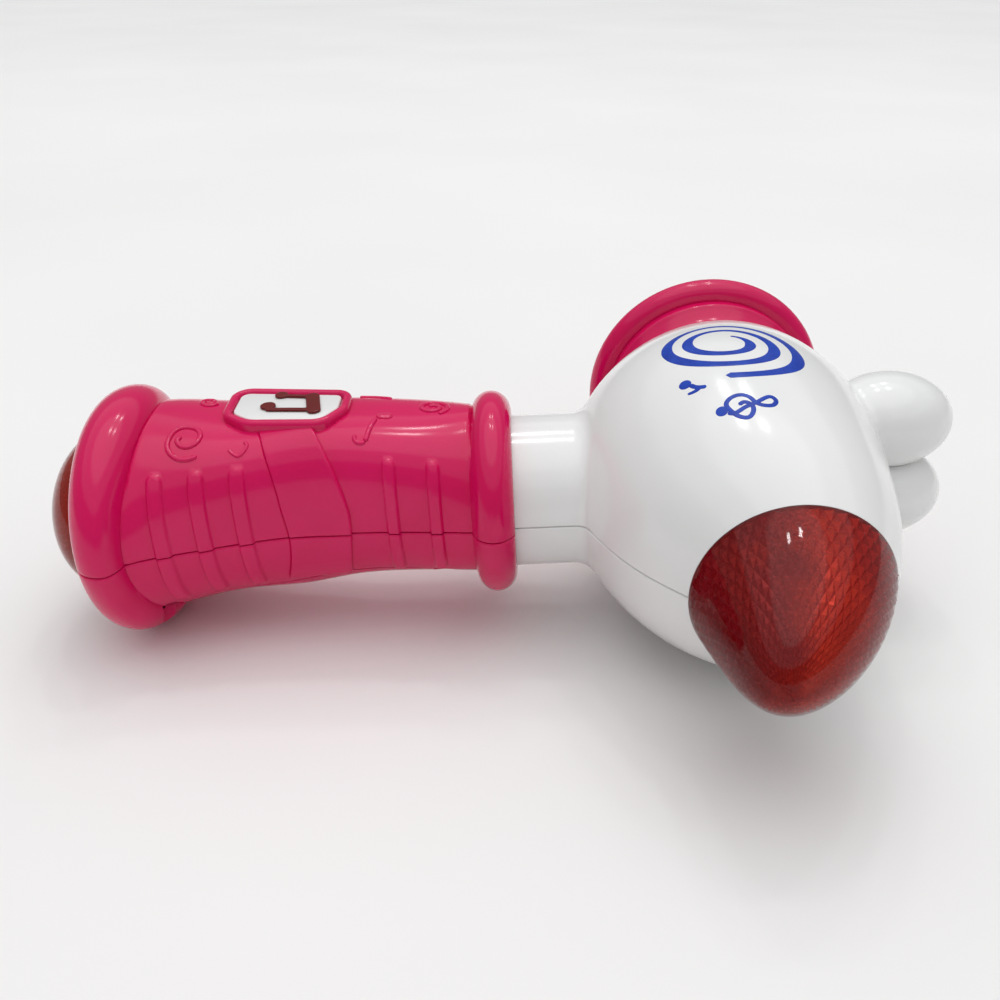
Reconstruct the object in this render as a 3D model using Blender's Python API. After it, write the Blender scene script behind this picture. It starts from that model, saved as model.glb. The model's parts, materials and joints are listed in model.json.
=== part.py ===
"""Toy hammer with light and sound: a pink grip, a white cross head, a red lens and a speaker bell.

Lengths are in millimetres in the design frame and become metres when a mesh is made. The design frame has
its origin where the grip's axis (X) crosses the head's axis (Y), with the parting plane of both shells at
Z = 0. The grip runs towards -X, the lens towards -Y and the bell towards +Y. Everything hangs from one
empty, which tips the toy as it rests on its belly and its butt ring and puts the origin under its middle.
"""

import math

import bmesh
import bpy
import numpy as np
from mathutils import Vector

MM = 0.001
WALL = 2.2
SPLIT = 0.15  # half the gap between the upper and the lower shells
FIT = 0.3  # clearance between pieces that touch
BESIDE = 0.05  # gap of a piece that lies flat on another

# Sides of round forms
FINE, MIDDLING, COARSE, TINY = 32, 24, 16, 10

# Resting pose: tip about Y that brings belly and butt ring to the table
REST_TILT = -3.17

# Grip: (x, half width), (x, height above the parting plane), (x, depth below it)
GRIP_WIDTH = ((-160, 30.2), (-150, 27.0), (-140, 24.5), (-130, 22.3), (-120, 20.7), (-105, 20.0),
              (-90, 20.7), (-72, 22.5))
GRIP_CROWN = ((-160, 29.6), (-150, 28.1), (-135, 26.6), (-115, 27.1), (-100, 26.7), (-85, 25.6),
              (-72, 25.1))
GRIP_KEEL = ((-160, 28.6), (-150, 26.4), (-140, 24.9), (-120, 24.7), (-108, 22.6), (-95, 21.6),
             (-72, 22.0))
# (x, power of the upper half's superellipse): 2 is an ellipse, more is squarer
GRIP_POWER = ((-160, 2.0), (-150, 2.6), (-140, 3.0), (-95, 3.0), (-85, 2.7), (-73, 2.0))
GRIP_END = -72.5

# Butt ring: a bead along an ellipse, and the lens in its mouth
BUTT_X = -166.5
BUTT_AXES = (28.15, 25.2)
BUTT_BEAD = 8.7
BUTT_MOUTH = (25.5, 22.6)
BUTT_CAVITY_X = -171.0
BUTT_LENS_X = -174.5
BUTT_LENS_HEIGHT = 14.9

# Ring at the neck end of the grip
NECK_RING_X = -67.0
NECK_RING_RADIUS = 22.1
NECK_RING_BEAD = (5.5, 6.0)
NECK_RADIUS = 21.1
NECK_SHOULDER_X = -72.4
SPIGOT_RADIUS = 18.9
SPIGOT_END = -77.0
NECK_BORE = 17.0

# Head: (y, radius) of the turned body, whose centre line bows towards the grip in the middle
HEAD_RADII = ((42.8, 28.4), (36, 32.8), (28, 36.8), (16, 40.9), (3, 43.0), (-10, 42.1), (-24, 39.0),
              (-38, 34.2), (-48, 28.9), (-54.9, 24.1))
HEAD_BACK = 42.8
HEAD_FRONT = -54.9
HEAD_CENTRE_X = -4.2
HEAD_FRONT_X = 2.5
HEAD_BACK_X = 2.1
HEAD_MOUTH = 21.8

# Lobes on the crown of the head, one on each shell
LOBE_CENTRE = (44.5, 12.1, 11.2)
LOBE_AXES = (18.0, 14.4, 13.5)

# Head lens
LENS_HEIGHT = 35.3
LENS_RADIUS = 24.1
LENS_WALL = 1.8
LENS_SAG = (-0.085, -0.166)  # sideways lean of the dome, linear and square part

# Bell and speaker
BELL_RING_Y = 62.2
BELL_RING_RADIUS = 33.2
BELL_BEAD = 4.5
BELL_FACE = 66.0
BELL_RECESS = 29.3
BELL_SPIGOT = 25.4
SPEAKER_RADIUS = 22.6

# Button: corners of the raised frame (x, y, corner radius), and its levels
FRAME_CORNERS = ((-139.0, 14.6, 4.5), (-104.6, 9.5, 3.5), (-104.6, -2.0, 4.5), (-109.9, -11.3, 5.0),
                 (-131.5, -9.4, 6.5), (-138.9, -3.0, 5.0))
FRAME_TOP = 29.0
FRAME_WIDTH = 2.6
BUTTON_CENTRE = (-121.0, 1.0)
BUTTON_TOP = 28.4
PLATE_UNDER = 26.1

# Note on the button: beam and stems as outlines, and its two round heads as (x, y, radius)
NOTE_OUTLINES = (
    ("button_note", ((-117.0, -3.8), (-111.6, -4.9), (-110.8, -3.4), (-113.6, 6.1), (-117.0, 6.5))),
    ("note_stem_near", ((-126.6, -2.4), (-116.0, -3.6), (-116.0, -2.0), (-126.6, -0.8))),
    ("note_stem_far", ((-124.4, 6.5), (-116.0, 4.9), (-116.0, 6.1), (-124.4, 7.7))),
)
NOTE_HEADS = ((-126.7, 0.6, 2.1), (-124.3, 7.5, 1.7))

# Inside the grip
BOARD_Z = (16.5, 18.1)
BOARD_X = (-139.0, -98.0)
BOARD_Y = 12.6
BATTERY_RADIUS = 7.1
BATTERY_AT = (7.7, -6.4)
CRADLE_X = (-147.0, -86.5)
CRADLE_TOP = (1.2, 2.6)
CRADLE_WALL = 1.4
CONTACT = 0.4
SPRING_LENGTH = 5.0
DOOR_X = (-153.4, -88.0)
DOOR_Y = 15.2
DOOR_SCREW_X = -148.7
DOOR_SEAT = -20.5

# Screws: positions, and levels shared by all
HANDLE_SCREWS = ((-158.2, 18.0), (-158.2, -18.0), (-81.7, 12.5), (-81.7, -12.5))
HEAD_SCREWS = ((-24.0, 20.0), (-24.0, -26.0), (24.0, -26.0), (22.0, 24.0))
SCREW_HEAD = (2.8, 2.0)
SCREW_SHANK = 1.35
SCREW_SEAT = -9.0
SCREW_TIP = 6.5
BOSS_RADIUS = 4.4

# Wires, along a few points each
WIRE_RADIUS = 0.6
WIRE_ROUTES = {
    "speaker_wire": ((-100.0, 6.0, 19.0), (-92.0, 5.5, 17.0), (-81.0, 4.0, 11.0), (-60.0, 4.0, 8.0),
                     (-38.0, 6.0, 7.0), (-16.0, 16.0, 4.0), (-12.0, 34.0, 0.0), (-14.2, 49.0, 0.0)),
    "head_light_wire": ((-100.0, -6.0, 19.0), (-92.0, -5.5, 17.0), (-81.0, -4.0, 11.0), (-60.0, -4.0, 8.0),
                        (-38.0, -6.0, 7.0), (-14.0, -18.0, 5.0), (-6.0, -34.0, 2.0), (0.0, -43.0, 0.0)),
    "butt_light_wire": ((-137.5, 6.0, 19.0), (-144.0, 5.5, 17.5), (-152.0, 4.0, 12.0), (-160.0, 2.0, 5.0),
                        (-165.6, 1.0, 2.0)),
    "battery_wire_plus": ((-92.0, -10.0, 3.6), (-91.5, -10.5, 7.0), (-95.0, -10.5, 11.5),
                          (-99.5, -9.5, 15.5)),
    "battery_wire_minus": ((-92.0, 10.0, 3.6), (-91.5, 10.5, 7.0), (-95.0, 10.5, 11.5), (-99.5, 9.5, 15.5)),
}

PINK = (0.80, 0.035, 0.16)
WHITE = (0.86, 0.87, 0.86)
RED = (0.42, 0.01, 0.01)


def clear_scene():
    for obj in list(bpy.data.objects):
        bpy.data.objects.remove(obj, do_unlink=True)


def material(name, colour, roughness, metallic=0.0, transmission=0.0):
    made = bpy.data.materials.new(name)
    made.use_nodes = True
    shader = made.node_tree.nodes["Principled BSDF"]
    shader.inputs["Base Color"].default_value = (*colour, 1.0)
    shader.inputs["Roughness"].default_value = roughness
    shader.inputs["Metallic"].default_value = metallic
    shader.inputs["Transmission Weight"].default_value = transmission
    return made


def smooth(x, points):
    """Height at x of a smooth curve through the points, which are sorted by either direction of x."""
    at = np.array(sorted(points), float)
    slopes = np.gradient(at[:, 1], at[:, 0])
    x = np.clip(x, at[0, 0], at[-1, 0])
    i = int(np.clip(np.searchsorted(at[:, 0], x) - 1, 0, len(at) - 2))
    step = at[i + 1, 0] - at[i, 0]
    t = (x - at[i, 0]) / step
    rise = at[i, 1] * (1 + 2 * t) * (1 - t) ** 2 + at[i + 1, 1] * t * t * (3 - 2 * t)
    return float(rise + step * (slopes[i] * t * (1 - t) ** 2 + slopes[i + 1] * t * t * (t - 1)))


# ---------------------------------------------------------------- mesh helpers


def add_object(name, verts, faces, look, parent, sharp=35):
    """A mesh object from vertices in millimetres of the design frame, with its faces turned outwards."""
    data = bpy.data.meshes.new(name)
    form = bmesh.new()
    made = [form.verts.new(Vector(v) * MM) for v in verts]
    for face in faces:
        form.faces.new([made[i] for i in face])
    bmesh.ops.recalc_face_normals(form, faces=form.faces)
    form.to_mesh(data)
    form.free()
    if look:
        data.materials.append(look)
    data.shade_smooth()
    data.set_sharp_from_angle(angle=math.radians(sharp))
    obj = bpy.data.objects.new(name, data)
    bpy.context.scene.collection.objects.link(obj)
    obj.parent = parent
    obj.location = -Vector(parent["at_mm"]) * MM
    return obj


def helper(obj):
    obj.hide_render = True
    obj.display_type = "WIRE"
    return obj


def skin(rings, closed=False):
    """Vertices and faces through rings of points; a ring of one point closes to a tip."""
    verts, faces, starts = [], [], []
    for ring in rings:
        starts.append((len(verts), len(ring)))
        verts.extend(ring)
    pairs = list(zip(starts, starts[1:]))
    if closed:
        pairs.append((starts[-1], starts[0]))
    for (a, na), (b, nb) in pairs:
        count = max(na, nb)
        for i in range(count):
            j = (i + 1) % count
            corners = [a + i % na, a + j % na, b + j % nb, b + i % nb]
            faces.append(list(dict.fromkeys(corners)))
    if not closed:
        for start, count in (starts[0], starts[-1]):
            if count > 1:
                faces.append(list(range(start, start + count)))
    return verts, faces


def turned(name, profile, segments, look, parent, axis="Y", centre=None, closed=False):
    """A turned piece: profile holds (position along the axis, radius); centre gives the axis offset."""
    rings = []
    for along, radius in profile:
        off = centre(along) if centre else (0.0, 0.0)
        count = 1 if radius < 1e-6 else segments
        ring = []
        for i in range(count):
            angle = 2 * math.pi * (i + 0.5) / segments
            u = off[0] + radius * math.cos(angle)
            v = off[1] + radius * math.sin(angle)
            ring.append({"X": (along, u, v), "Y": (u, along, v), "Z": (u, v, along)}[axis])
        rings.append(ring)
    verts, faces = skin(rings, closed)
    return add_object(name, verts, faces, look, parent)


def rod(name, axis, at, radius, low, high, look, parent, segments=COARSE):
    """A plain round rod along an axis, between two positions on it."""
    return turned(name, ((low, radius), (high, radius)), segments, look, parent, axis, lambda _: at)


def block(name, low, high, look, parent):
    ring = [(low[0], low[1]), (high[0], low[1]), (high[0], high[1]), (low[0], high[1])]
    verts, faces = skin([[(x, y, z) for x, y in ring] for z in (low[2], high[2])])
    return add_object(name, verts, faces, look, parent)


def prism(name, outline, low, high, look, parent):
    verts, faces = skin([[(x, y, z) for x, y in outline] for z in (low, high)])
    return add_object(name, verts, faces, look, parent)


def combine(obj, operation, *others):
    for other in others:
        modifier = obj.modifiers.new(operation.lower() + "_" + other.name, "BOOLEAN")
        modifier.operation = operation
        modifier.solver = "EXACT"
        modifier.object = helper(other)
    return obj


def cut(obj, *others):
    return combine(obj, "DIFFERENCE", *others)


def inset(corners, by):
    """The convex outline's corners moved inwards, with their radii reduced to match."""
    moved = []
    count = len(corners)
    for i, (x, y, radius) in enumerate(corners):
        before = Vector(corners[i - 1][:2])
        after = Vector(corners[(i + 1) % count][:2])
        here = Vector((x, y))
        one = (before - here).normalized()
        two = (after - here).normalized()
        middle = (one + two).normalized()
        sine = math.sqrt((1 - one.dot(two)) / 2)
        at = here + middle * (by / sine)
        moved.append((at.x, at.y, max(radius - by, 0.4)))
    return moved


def rounded(corners, steps=3):
    """Points of an outline whose corners are rounded with arcs."""
    points = []
    count = len(corners)
    for i, (x, y, radius) in enumerate(corners):
        here = Vector((x, y))
        one = (Vector(corners[i - 1][:2]) - here).normalized()
        two = (Vector(corners[(i + 1) % count][:2]) - here).normalized()
        half = math.acos(max(-1.0, min(1.0, one.dot(two)))) / 2
        back = radius / math.tan(half)
        middle = here + (one + two).normalized() * (radius / math.sin(half))
        start = here + one * back - middle
        end = here + two * back - middle
        turn = start.angle_signed(end)
        for k in range(steps + 1):
            angle = -turn * k / steps
            c, s = math.cos(angle), math.sin(angle)
            points.append((middle.x + c * start.x - s * start.y, middle.y + s * start.x + c * start.y))
    return points


# ---------------------------------------------------------------- outer forms


def bead(x, middle, half):
    """How far a bead of unit height stands out at x, or a deep hollow beside it."""
    t = (x - middle) / half
    return math.sqrt(1 - t * t) if abs(t) <= 1 else -9.0


def grip_axes(x, grow=0.0):
    """Half width, height and depth of the grip's section at x, with both end beads."""
    butt = BUTT_BEAD * bead(x, BUTT_X, BUTT_BEAD)
    neck = NECK_RING_RADIUS + NECK_RING_BEAD[1] * bead(x, NECK_RING_X, NECK_RING_BEAD[0])
    in_grip = BUTT_X < x < NECK_RING_X
    width = smooth(x, GRIP_WIDTH) if in_grip else 0.0
    crown = smooth(x, GRIP_CROWN) if in_grip else 0.0
    keel = smooth(x, GRIP_KEEL) if in_grip else 0.0
    wide = max(width, BUTT_AXES[0] + butt, neck)
    tall = BUTT_AXES[1] + butt
    return wide + grow, max(crown, tall, neck) + grow, max(keel, tall, neck) + grow


def oval(x, axes, segments):
    """A ring in the plane at x: squarish above the parting plane, half an ellipse below it."""
    width, crown, keel = axes
    power = smooth(x, GRIP_POWER)
    points = []
    for i in range(segments):
        angle = 2 * math.pi * (i + 0.5) / segments
        along, rise = math.cos(angle), math.sin(angle)
        if rise > 0:
            reach = (abs(along) ** power + rise ** power) ** (-1 / power)
            points.append((x, width * along * reach, crown * rise * reach))
        else:
            points.append((x, width * along, keel * rise))
    return points


def arc_stations(middle, half, start, end, count):
    """Positions along a bead at even angles, in degrees from its +X side."""
    angles = np.radians(np.linspace(start, end, count))
    return [middle + half * math.cos(a) for a in angles]


def grip_stations():
    stations = arc_stations(BUTT_X, BUTT_BEAD, 179.9, 24, 6)
    stations += list(np.linspace(-156.5, GRIP_END - 1.5, 10))
    return stations + arc_stations(NECK_RING_X, NECK_RING_BEAD[0], 179.9, 0.1, 6)


def head_centre(y):
    """Offset of the head's centre line at y: it bows towards the grip."""
    if y < 0:
        x = HEAD_CENTRE_X + (HEAD_FRONT_X - HEAD_CENTRE_X) * min(y / HEAD_FRONT, 1.0) ** 2
    else:
        x = HEAD_CENTRE_X + (HEAD_BACK_X - HEAD_CENTRE_X) * min(y / HEAD_BACK, 1.0) ** 2
    return x, 0.0


def straight(offset):
    return lambda _: offset


def ellipsoid(name, centre, axes, segments, look, parent):
    rings = []
    steps = segments // 2
    for i in range(steps + 1):
        angle = math.pi * i / steps
        x = centre[0] - axes[0] * math.cos(angle)
        size = math.sin(angle) if 0 < i < steps else 0.0
        count = segments if size else 1
        turns = [2 * math.pi * (k + 0.5) / segments for k in range(count)]
        wide, tall = axes[1] * size, axes[2] * size
        rings.append([(x, centre[1] + wide * math.cos(t), centre[2] + tall * math.sin(t)) for t in turns])
    verts, faces = skin(rings)
    return add_object(name, verts, faces, look, parent)


# ---------------------------------------------------------------- grip


def grip_form(look, root):
    """The closed outer form of the grip, with the raised frame of the button on it."""
    verts, faces = skin([oval(x, grip_axes(x), FINE) for x in grip_stations()])
    form = helper(add_object("grip_form", verts, faces, look, root))
    outline = rounded(FRAME_CORNERS)
    return combine(form, "UNION", prism("frame_form", outline, 15.0, FRAME_TOP, look, root))


def grip_cavity(look, root):
    """Everything that is hollow inside the grip: its inner space, both mouths and the button's pocket."""
    stations = [BUTT_CAVITY_X, BUTT_X, -161.5, *np.linspace(-156, NECK_SHOULDER_X + 0.2, 8)]
    verts, faces = skin([oval(x, grip_axes(x, -WALL), MIDDLING) for x in stations])
    cavity = helper(add_object("grip_cavity", verts, faces, look, root))
    mouth = [oval(x, (*BUTT_MOUTH, BUTT_MOUTH[1]), MIDDLING) for x in (BUTT_X - 12, BUTT_X)]
    butt_mouth = add_object("butt_mouth", *skin(mouth), look, root)
    neck_mouth = rod("neck_mouth", "X", (0, 0), NECK_RADIUS + FIT, NECK_SHOULDER_X - FIT, NECK_RING_X + 9,
                     look, root, MIDDLING)
    outline = rounded(inset(FRAME_CORNERS, FRAME_WIDTH - 1.6))
    pocket = prism("button_pocket", outline, 19.0, PLATE_UNDER, look, root)
    combine(cavity, "UNION", butt_mouth, neck_mouth, pocket)
    posts = [rod(f"grip_post_{i}", "Z", at, BOSS_RADIUS, -40.0, 40.0, look, root)
             for i, at in enumerate(HANDLE_SCREWS)]
    return cut(cavity, *posts)


def half_space(name, side, low, high, look, root):
    """A block over or under the parting plane, for a shell to be cut out of."""
    z = (SPLIT, 60.0) if side > 0 else (-60.0, -SPLIT)
    return block(name, (low[0], low[1], z[0]), (high[0], high[1], z[1]), look, root)


def screw_holes(name, at, side, look, root, seat=SCREW_SEAT):
    """The pilot hole over a screw, or its clearance hole and the well of its head below."""
    if side > 0:
        return [rod(f"{name}_pilot", "Z", at, SCREW_SHANK + FIT, -1.0, SCREW_TIP + 1.5, look, root, TINY)]
    shank = rod(f"{name}_bore", "Z", at, SCREW_SHANK + FIT, seat - 1.0, 1.0, look, root, TINY)
    well = rod(f"{name}_well", "Z", at, SCREW_HEAD[0] + 0.5, -60.0, seat, look, root, COARSE)
    return [shank, well]


def screw(name, at, look, root, seat=SCREW_SEAT, tip=SCREW_TIP):
    head, height = SCREW_HEAD
    bearing = seat - BESIDE
    end = bearing - height
    profile = ((end, 0), (end, head - 0.5), (end + 0.5, head), (bearing, head), (bearing, SCREW_SHANK),
               (tip - 1.2, SCREW_SHANK), (tip, 0))
    return turned(name, profile, TINY, look, root, "Z", straight(at))


def grip_shells(looks, root):
    pink = looks["pink"]
    form = grip_form(pink, root)
    cavity = grip_cavity(pink, root)
    low, high = (BUTT_X - 20, -50.0), (NECK_RING_X + 12, 50.0)
    window = prism("button_window", rounded(inset(FRAME_CORNERS, FRAME_WIDTH)), 20.0, 40.0, pink, root)
    upper = combine(half_space("handle_upper_shell", 1, low, high, pink, root), "INTERSECT", form)
    cut(upper, cavity, window)
    lower = combine(half_space("handle_lower_shell", -1, low, high, pink, root), "INTERSECT", form)
    opening = block("door_opening", (DOOR_X[0], -DOOR_Y, -60.0), (DOOR_X[1], DOOR_Y, -8.0), pink, root)
    cut(lower, cavity, opening)
    for i, at in enumerate(HANDLE_SCREWS):
        cut(upper, *screw_holes(f"handle_screw_{i + 1}", at, 1, pink, root))
        cut(lower, *screw_holes(f"handle_screw_{i + 1}", at, -1, pink, root))
        screw(f"handle_screw_{i + 1}", at, looks["steel"], root)
    return form, cavity


def battery_door(form, cavity, looks, hinge):
    """The curved door under the batteries and its captive screw, which come off downwards together."""
    pink = looks["pink"]
    at = (DOOR_SCREW_X, 0.0)
    door = block("battery_door", (DOOR_X[0] + FIT, FIT - DOOR_Y, -60.0),
                 (DOOR_X[1] - FIT, DOOR_Y - FIT, -8.0), pink, hinge)
    combine(door, "INTERSECT", form)
    cut(door, cavity)
    combine(door, "UNION", rod("door_boss", "Z", at, BOSS_RADIUS - 0.4, -24.2, -17.5, pink, hinge))
    bore = rod("door_bore", "Z", at, SCREW_SHANK + FIT, -40.0, 0.0, pink, hinge, TINY)
    well = rod("door_well", "Z", at, SCREW_HEAD[0] + 0.4, -40.0, DOOR_SEAT, pink, hinge)
    cut(door, bore, well)
    screw("battery_door_screw", at, looks["steel"], hinge, DOOR_SEAT, -9.0)


def button(looks, axis):
    """The push button: a flanged cap with a stem, the red note on it and the switch plunger under it."""
    flange = rounded(inset(FRAME_CORNERS, FRAME_WIDTH - 1.2))
    face = rounded(inset(FRAME_CORNERS, FRAME_WIDTH + 0.35))
    crown = rounded(inset(FRAME_CORNERS, FRAME_WIDTH + 0.8))
    shoulder = PLATE_UNDER - FIT
    flange_low = shoulder - 1.4
    levels = ((flange, flange_low), (flange, shoulder), (face, shoulder), (face, BUTTON_TOP - 0.4),
              (crown, BUTTON_TOP))
    verts, faces = skin([[(x, y, z) for x, y in outline] for outline, z in levels])
    cap = add_object("button_cap", verts, faces, looks["white"], axis)
    stem = rod("button_stem", "Z", BUTTON_CENTRE, 3.0, 23.3, flange_low + 0.5, looks["white"], axis)
    combine(cap, "UNION", stem)
    low, high = BUTTON_TOP + BESIDE, BUTTON_TOP + 0.75
    note, *limbs = [prism(name, outline, low, high, looks["red"], axis) for name, outline in NOTE_OUTLINES]
    heads = [rod(f"note_head_{i}", "Z", at, radius, low, high, looks["red"], axis, TINY)
             for i, (*at, radius) in enumerate(NOTE_HEADS)]
    combine(note, "UNION", *limbs, *heads)
    rod("tact_plunger", "Z", BUTTON_CENTRE, 1.7, 21.3, 23.2, looks["dark"], axis, TINY)


def electronics(looks, root):
    block("main_circuit_board", (BOARD_X[0], -BOARD_Y, BOARD_Z[0]), (BOARD_X[1], BOARD_Y, BOARD_Z[1]),
          looks["board"], root)
    top = BOARD_Z[1] + BESIDE
    x, y = BUTTON_CENTRE
    tact = block("tact_switch", (x - 3, y - 3, top), (x + 3, y + 3, 21.7), looks["dark"], root)
    cut(tact, rod("tact_well", "Z", BUTTON_CENTRE, 2.0, 19.8, 23.0, looks["dark"], root, TINY))
    chip = ((top, 0), (top, 5.0), (top + 0.8, 4.4), (top + 1.4, 2.6), (top + 1.6, 0))
    turned("sound_chip", chip, TINY, looks["dark"], root, "Z", straight((-131.0, 0.0)))
    rod("capacitor", "Z", (-106.0, -7.0), 2.5, top, top + 4.6, looks["dark"], root, TINY)
    under = BOARD_Z[0] - BESIDE - 2.5
    rod("strike_sensor", "X", (0.0, under), 2.4, -126.0, -114.0, looks["steel"], root, TINY)


def batteries(looks, root):
    offset, level = BATTERY_AT
    low, high = CRADLE_X[0] + CRADLE_WALL, CRADLE_X[1] - CRADLE_WALL
    cradle = block("battery_cradle", (CRADLE_X[0], -15.3, CRADLE_TOP[0]),
                   (CRADLE_X[1], 15.3, CRADLE_TOP[1]), looks["pink"], root)
    walls = [block(f"cradle_wall_{i}", (x, -12.0, -13.0), (x + CRADLE_WALL, 12.0, CRADLE_TOP[1] - 0.5),
                   looks["pink"], root) for i, x in enumerate((CRADLE_X[0], high))]
    at = (DOOR_SCREW_X, 0.0)
    anchor = rod("cradle_anchor", "Z", at, 3.0, -15.5, CRADLE_TOP[1] - 0.5, looks["pink"], root)
    combine(cradle, "UNION", *walls, anchor)
    cut(cradle, rod("anchor_bore", "Z", at, SCREW_SHANK + FIT, -30.0, -6.0, looks["pink"], root, TINY))
    left, right = low + BESIDE, high - BESIDE - CONTACT
    plates = (("contact_bridge", left, 11.6, -11.6), ("contact_plus", right, -3.0, -11.6),
              ("contact_minus", right, 11.6, 3.0))
    for name, x, back, front in plates:
        block(name, (x, front, -11.0), (x + CONTACT, back, -2.0), looks["steel"], root)
    inner = left + CONTACT + BESIDE
    outer = right - BESIDE
    cells = (("battery_1", -1, inner + SPRING_LENGTH, outer),
             ("battery_2", 1, outer - SPRING_LENGTH, inner))
    for name, side, flat, tip in cells:
        way = 1 if tip > flat else -1
        collar = tip - way * 1.3
        profile = ((flat, 0), (flat, 6.6), (flat + way * 0.5, BATTERY_RADIUS),
                   (collar - way * 0.5, BATTERY_RADIUS), (collar, 6.4), (collar, 2.7), (tip, 2.4), (tip, 0))
        turned(name, profile, COARSE, looks["battery"], root, "X", straight((side * offset, level)))
    length = SPRING_LENGTH - BESIDE
    coil("contact_spring_1", inner + BESIDE, inner + length, (-offset, level), looks["steel"], root)
    coil("contact_spring_2", outer - BESIDE, outer - length, (offset, level), looks["steel"], root)


def coil(name, start, end, at, look, root, wire=0.35, turns=3):
    """A conical spring wound along X, from its wide foot at start to its narrow end."""
    way = 1 if end > start else -1
    first, last = start + way * wire * 1.1, end - way * wire * 1.1
    count = turns * TINY
    points = []
    for i in range(count + 1):
        t = i / count
        radius = 4.6 - 2.2 * t
        angle = 2 * math.pi * turns * t
        x = first + (last - first) * t
        points.append((x, at[0] + radius * math.cos(angle), at[1] + radius * math.sin(angle)))
    return wire_object(name, points, wire, look, root)


def wire_object(name, points, radius, look, root):
    """A round wire through the points, with filled ends."""
    data = bpy.data.curves.new(name, "CURVE")
    data.dimensions = "3D"
    data.bevel_depth = radius * MM
    data.bevel_resolution = 1
    data.use_fill_caps = True
    spline = data.splines.new("POLY")
    spline.points.add(len(points) - 1)
    for point, at in zip(spline.points, points):
        point.co = (*(Vector(at) * MM), 1.0)
    data.materials.append(look)
    obj = bpy.data.objects.new(name, data)
    bpy.context.scene.collection.objects.link(obj)
    obj.parent = root
    return obj


def routed(points, count):
    """Evenly spread points of a smooth curve through a wire's few route points."""
    at = [Vector(p) for p in points]
    at = [at[0] * 2 - at[1], *at, at[-1] * 2 - at[-2]]
    found = []
    for k in range(count + 1):
        u = k / count * (len(points) - 1)
        i = min(int(u), len(points) - 2)
        t = u - i
        a, b, c, d = at[i:i + 4]
        found.append(0.5 * (2 * b + (c - a) * t + (2 * a - 5 * b + 4 * c - d) * t * t
                            + (3 * b - a - 3 * c + d) * t ** 3))
    return found


def wires(looks, root):
    for name, route in WIRE_ROUTES.items():
        look = looks["wire_red"] if name.endswith("plus") else looks["dark"]
        wire_object(name, routed(route, 3 * (len(route) - 1)), WIRE_RADIUS, look, root)


def butt_light(looks, root):
    """The red lens in the butt ring, with its flange inside the shell, and the lamp behind it."""
    wide, tall = BUTT_MOUTH[0] - 0.35, BUTT_MOUTH[1] - 0.35
    flange_x = BUTT_CAVITY_X + FIT
    tip_x = BUTT_LENS_X - BUTT_LENS_HEIGHT
    dome = [(BUTT_LENS_X - BUTT_LENS_HEIGHT * math.cos(a), math.sin(a))
            for a in np.radians(np.arange(18, 91, 18))]
    flange = [(flange_x, 1.0), (flange_x, 1.11), (flange_x + 1.6, 1.11), (flange_x + 1.6, 0.92)]
    inner = [(BUTT_LENS_X - (BUTT_LENS_HEIGHT - LENS_WALL) * math.cos(a), 0.92 * math.sin(a))
             for a in np.radians(np.arange(90, 17, -24))]
    profile = [(tip_x, 0.0), *dome, *flange, *inner, (tip_x + LENS_WALL, 0.0)]
    rings = []
    for x, size in profile:
        ring = oval(x, (wide * size, tall * size, tall * size), MIDDLING)
        rings.append(ring if size else [(x, 0.0, 0.0)])
    add_object("butt_lens", *skin(rings), looks["lens"], root)
    rod("butt_led_board", "X", (0, 0), 14.0, flange_x + 3.0, flange_x + 4.6, looks["board"], root)
    led("butt_led", "X", (0, 0), flange_x + 3.0 - BESIDE, -1, looks["led"], root)


def led(name, axis, at, foot, way, look, root):
    """A 5 mm lamp with a domed end, standing on its foot and pointing the given way along an axis."""
    profile = ((foot, 0), (foot, 2.5), (foot + way * 4.0, 2.5), (foot + way * 5.4, 1.8),
               (foot + way * 6.0, 0))
    turned(name, profile, TINY, look, root, axis, straight(at))


# ---------------------------------------------------------------- head


def head_profile(grow=0.0):
    return [(y, radius + grow) for y, radius in HEAD_RADII]


def neck_rod(name, radius, low, look, root):
    """The neck along X, flaring where it runs into the head."""
    profile = ((low, radius), (-48.0, radius), (-42.0, radius + 1.0), (-37.0, radius + 3.5),
               (-20.0, radius + 3.5))
    return turned(name, profile, MIDDLING + 2, look, root, "X", straight((0.0, 0.0)))


def lobe(side, shrink, look, root):
    x, y, z = LOBE_CENTRE
    axes = [a - shrink for a in LOBE_AXES]
    name = f"lobe_{'upper' if side > 0 else 'lower'}_{shrink:.0f}"
    return ellipsoid(name, (x, y, side * z), axes, COARSE + 2, look, root)


def head_form(look, root):
    form = helper(turned("head_form", head_profile(), FINE, look, root, "Y", head_centre))
    neck = neck_rod("neck_form", NECK_RADIUS, NECK_SHOULDER_X, look, root)
    spigot = rod("spigot_form", "X", (0, 0), SPIGOT_RADIUS, SPIGOT_END, -60.0, look, root, MIDDLING)
    return combine(form, "UNION", neck, spigot, lobe(1, 0.0, look, root), lobe(-1, 0.0, look, root))


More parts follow.
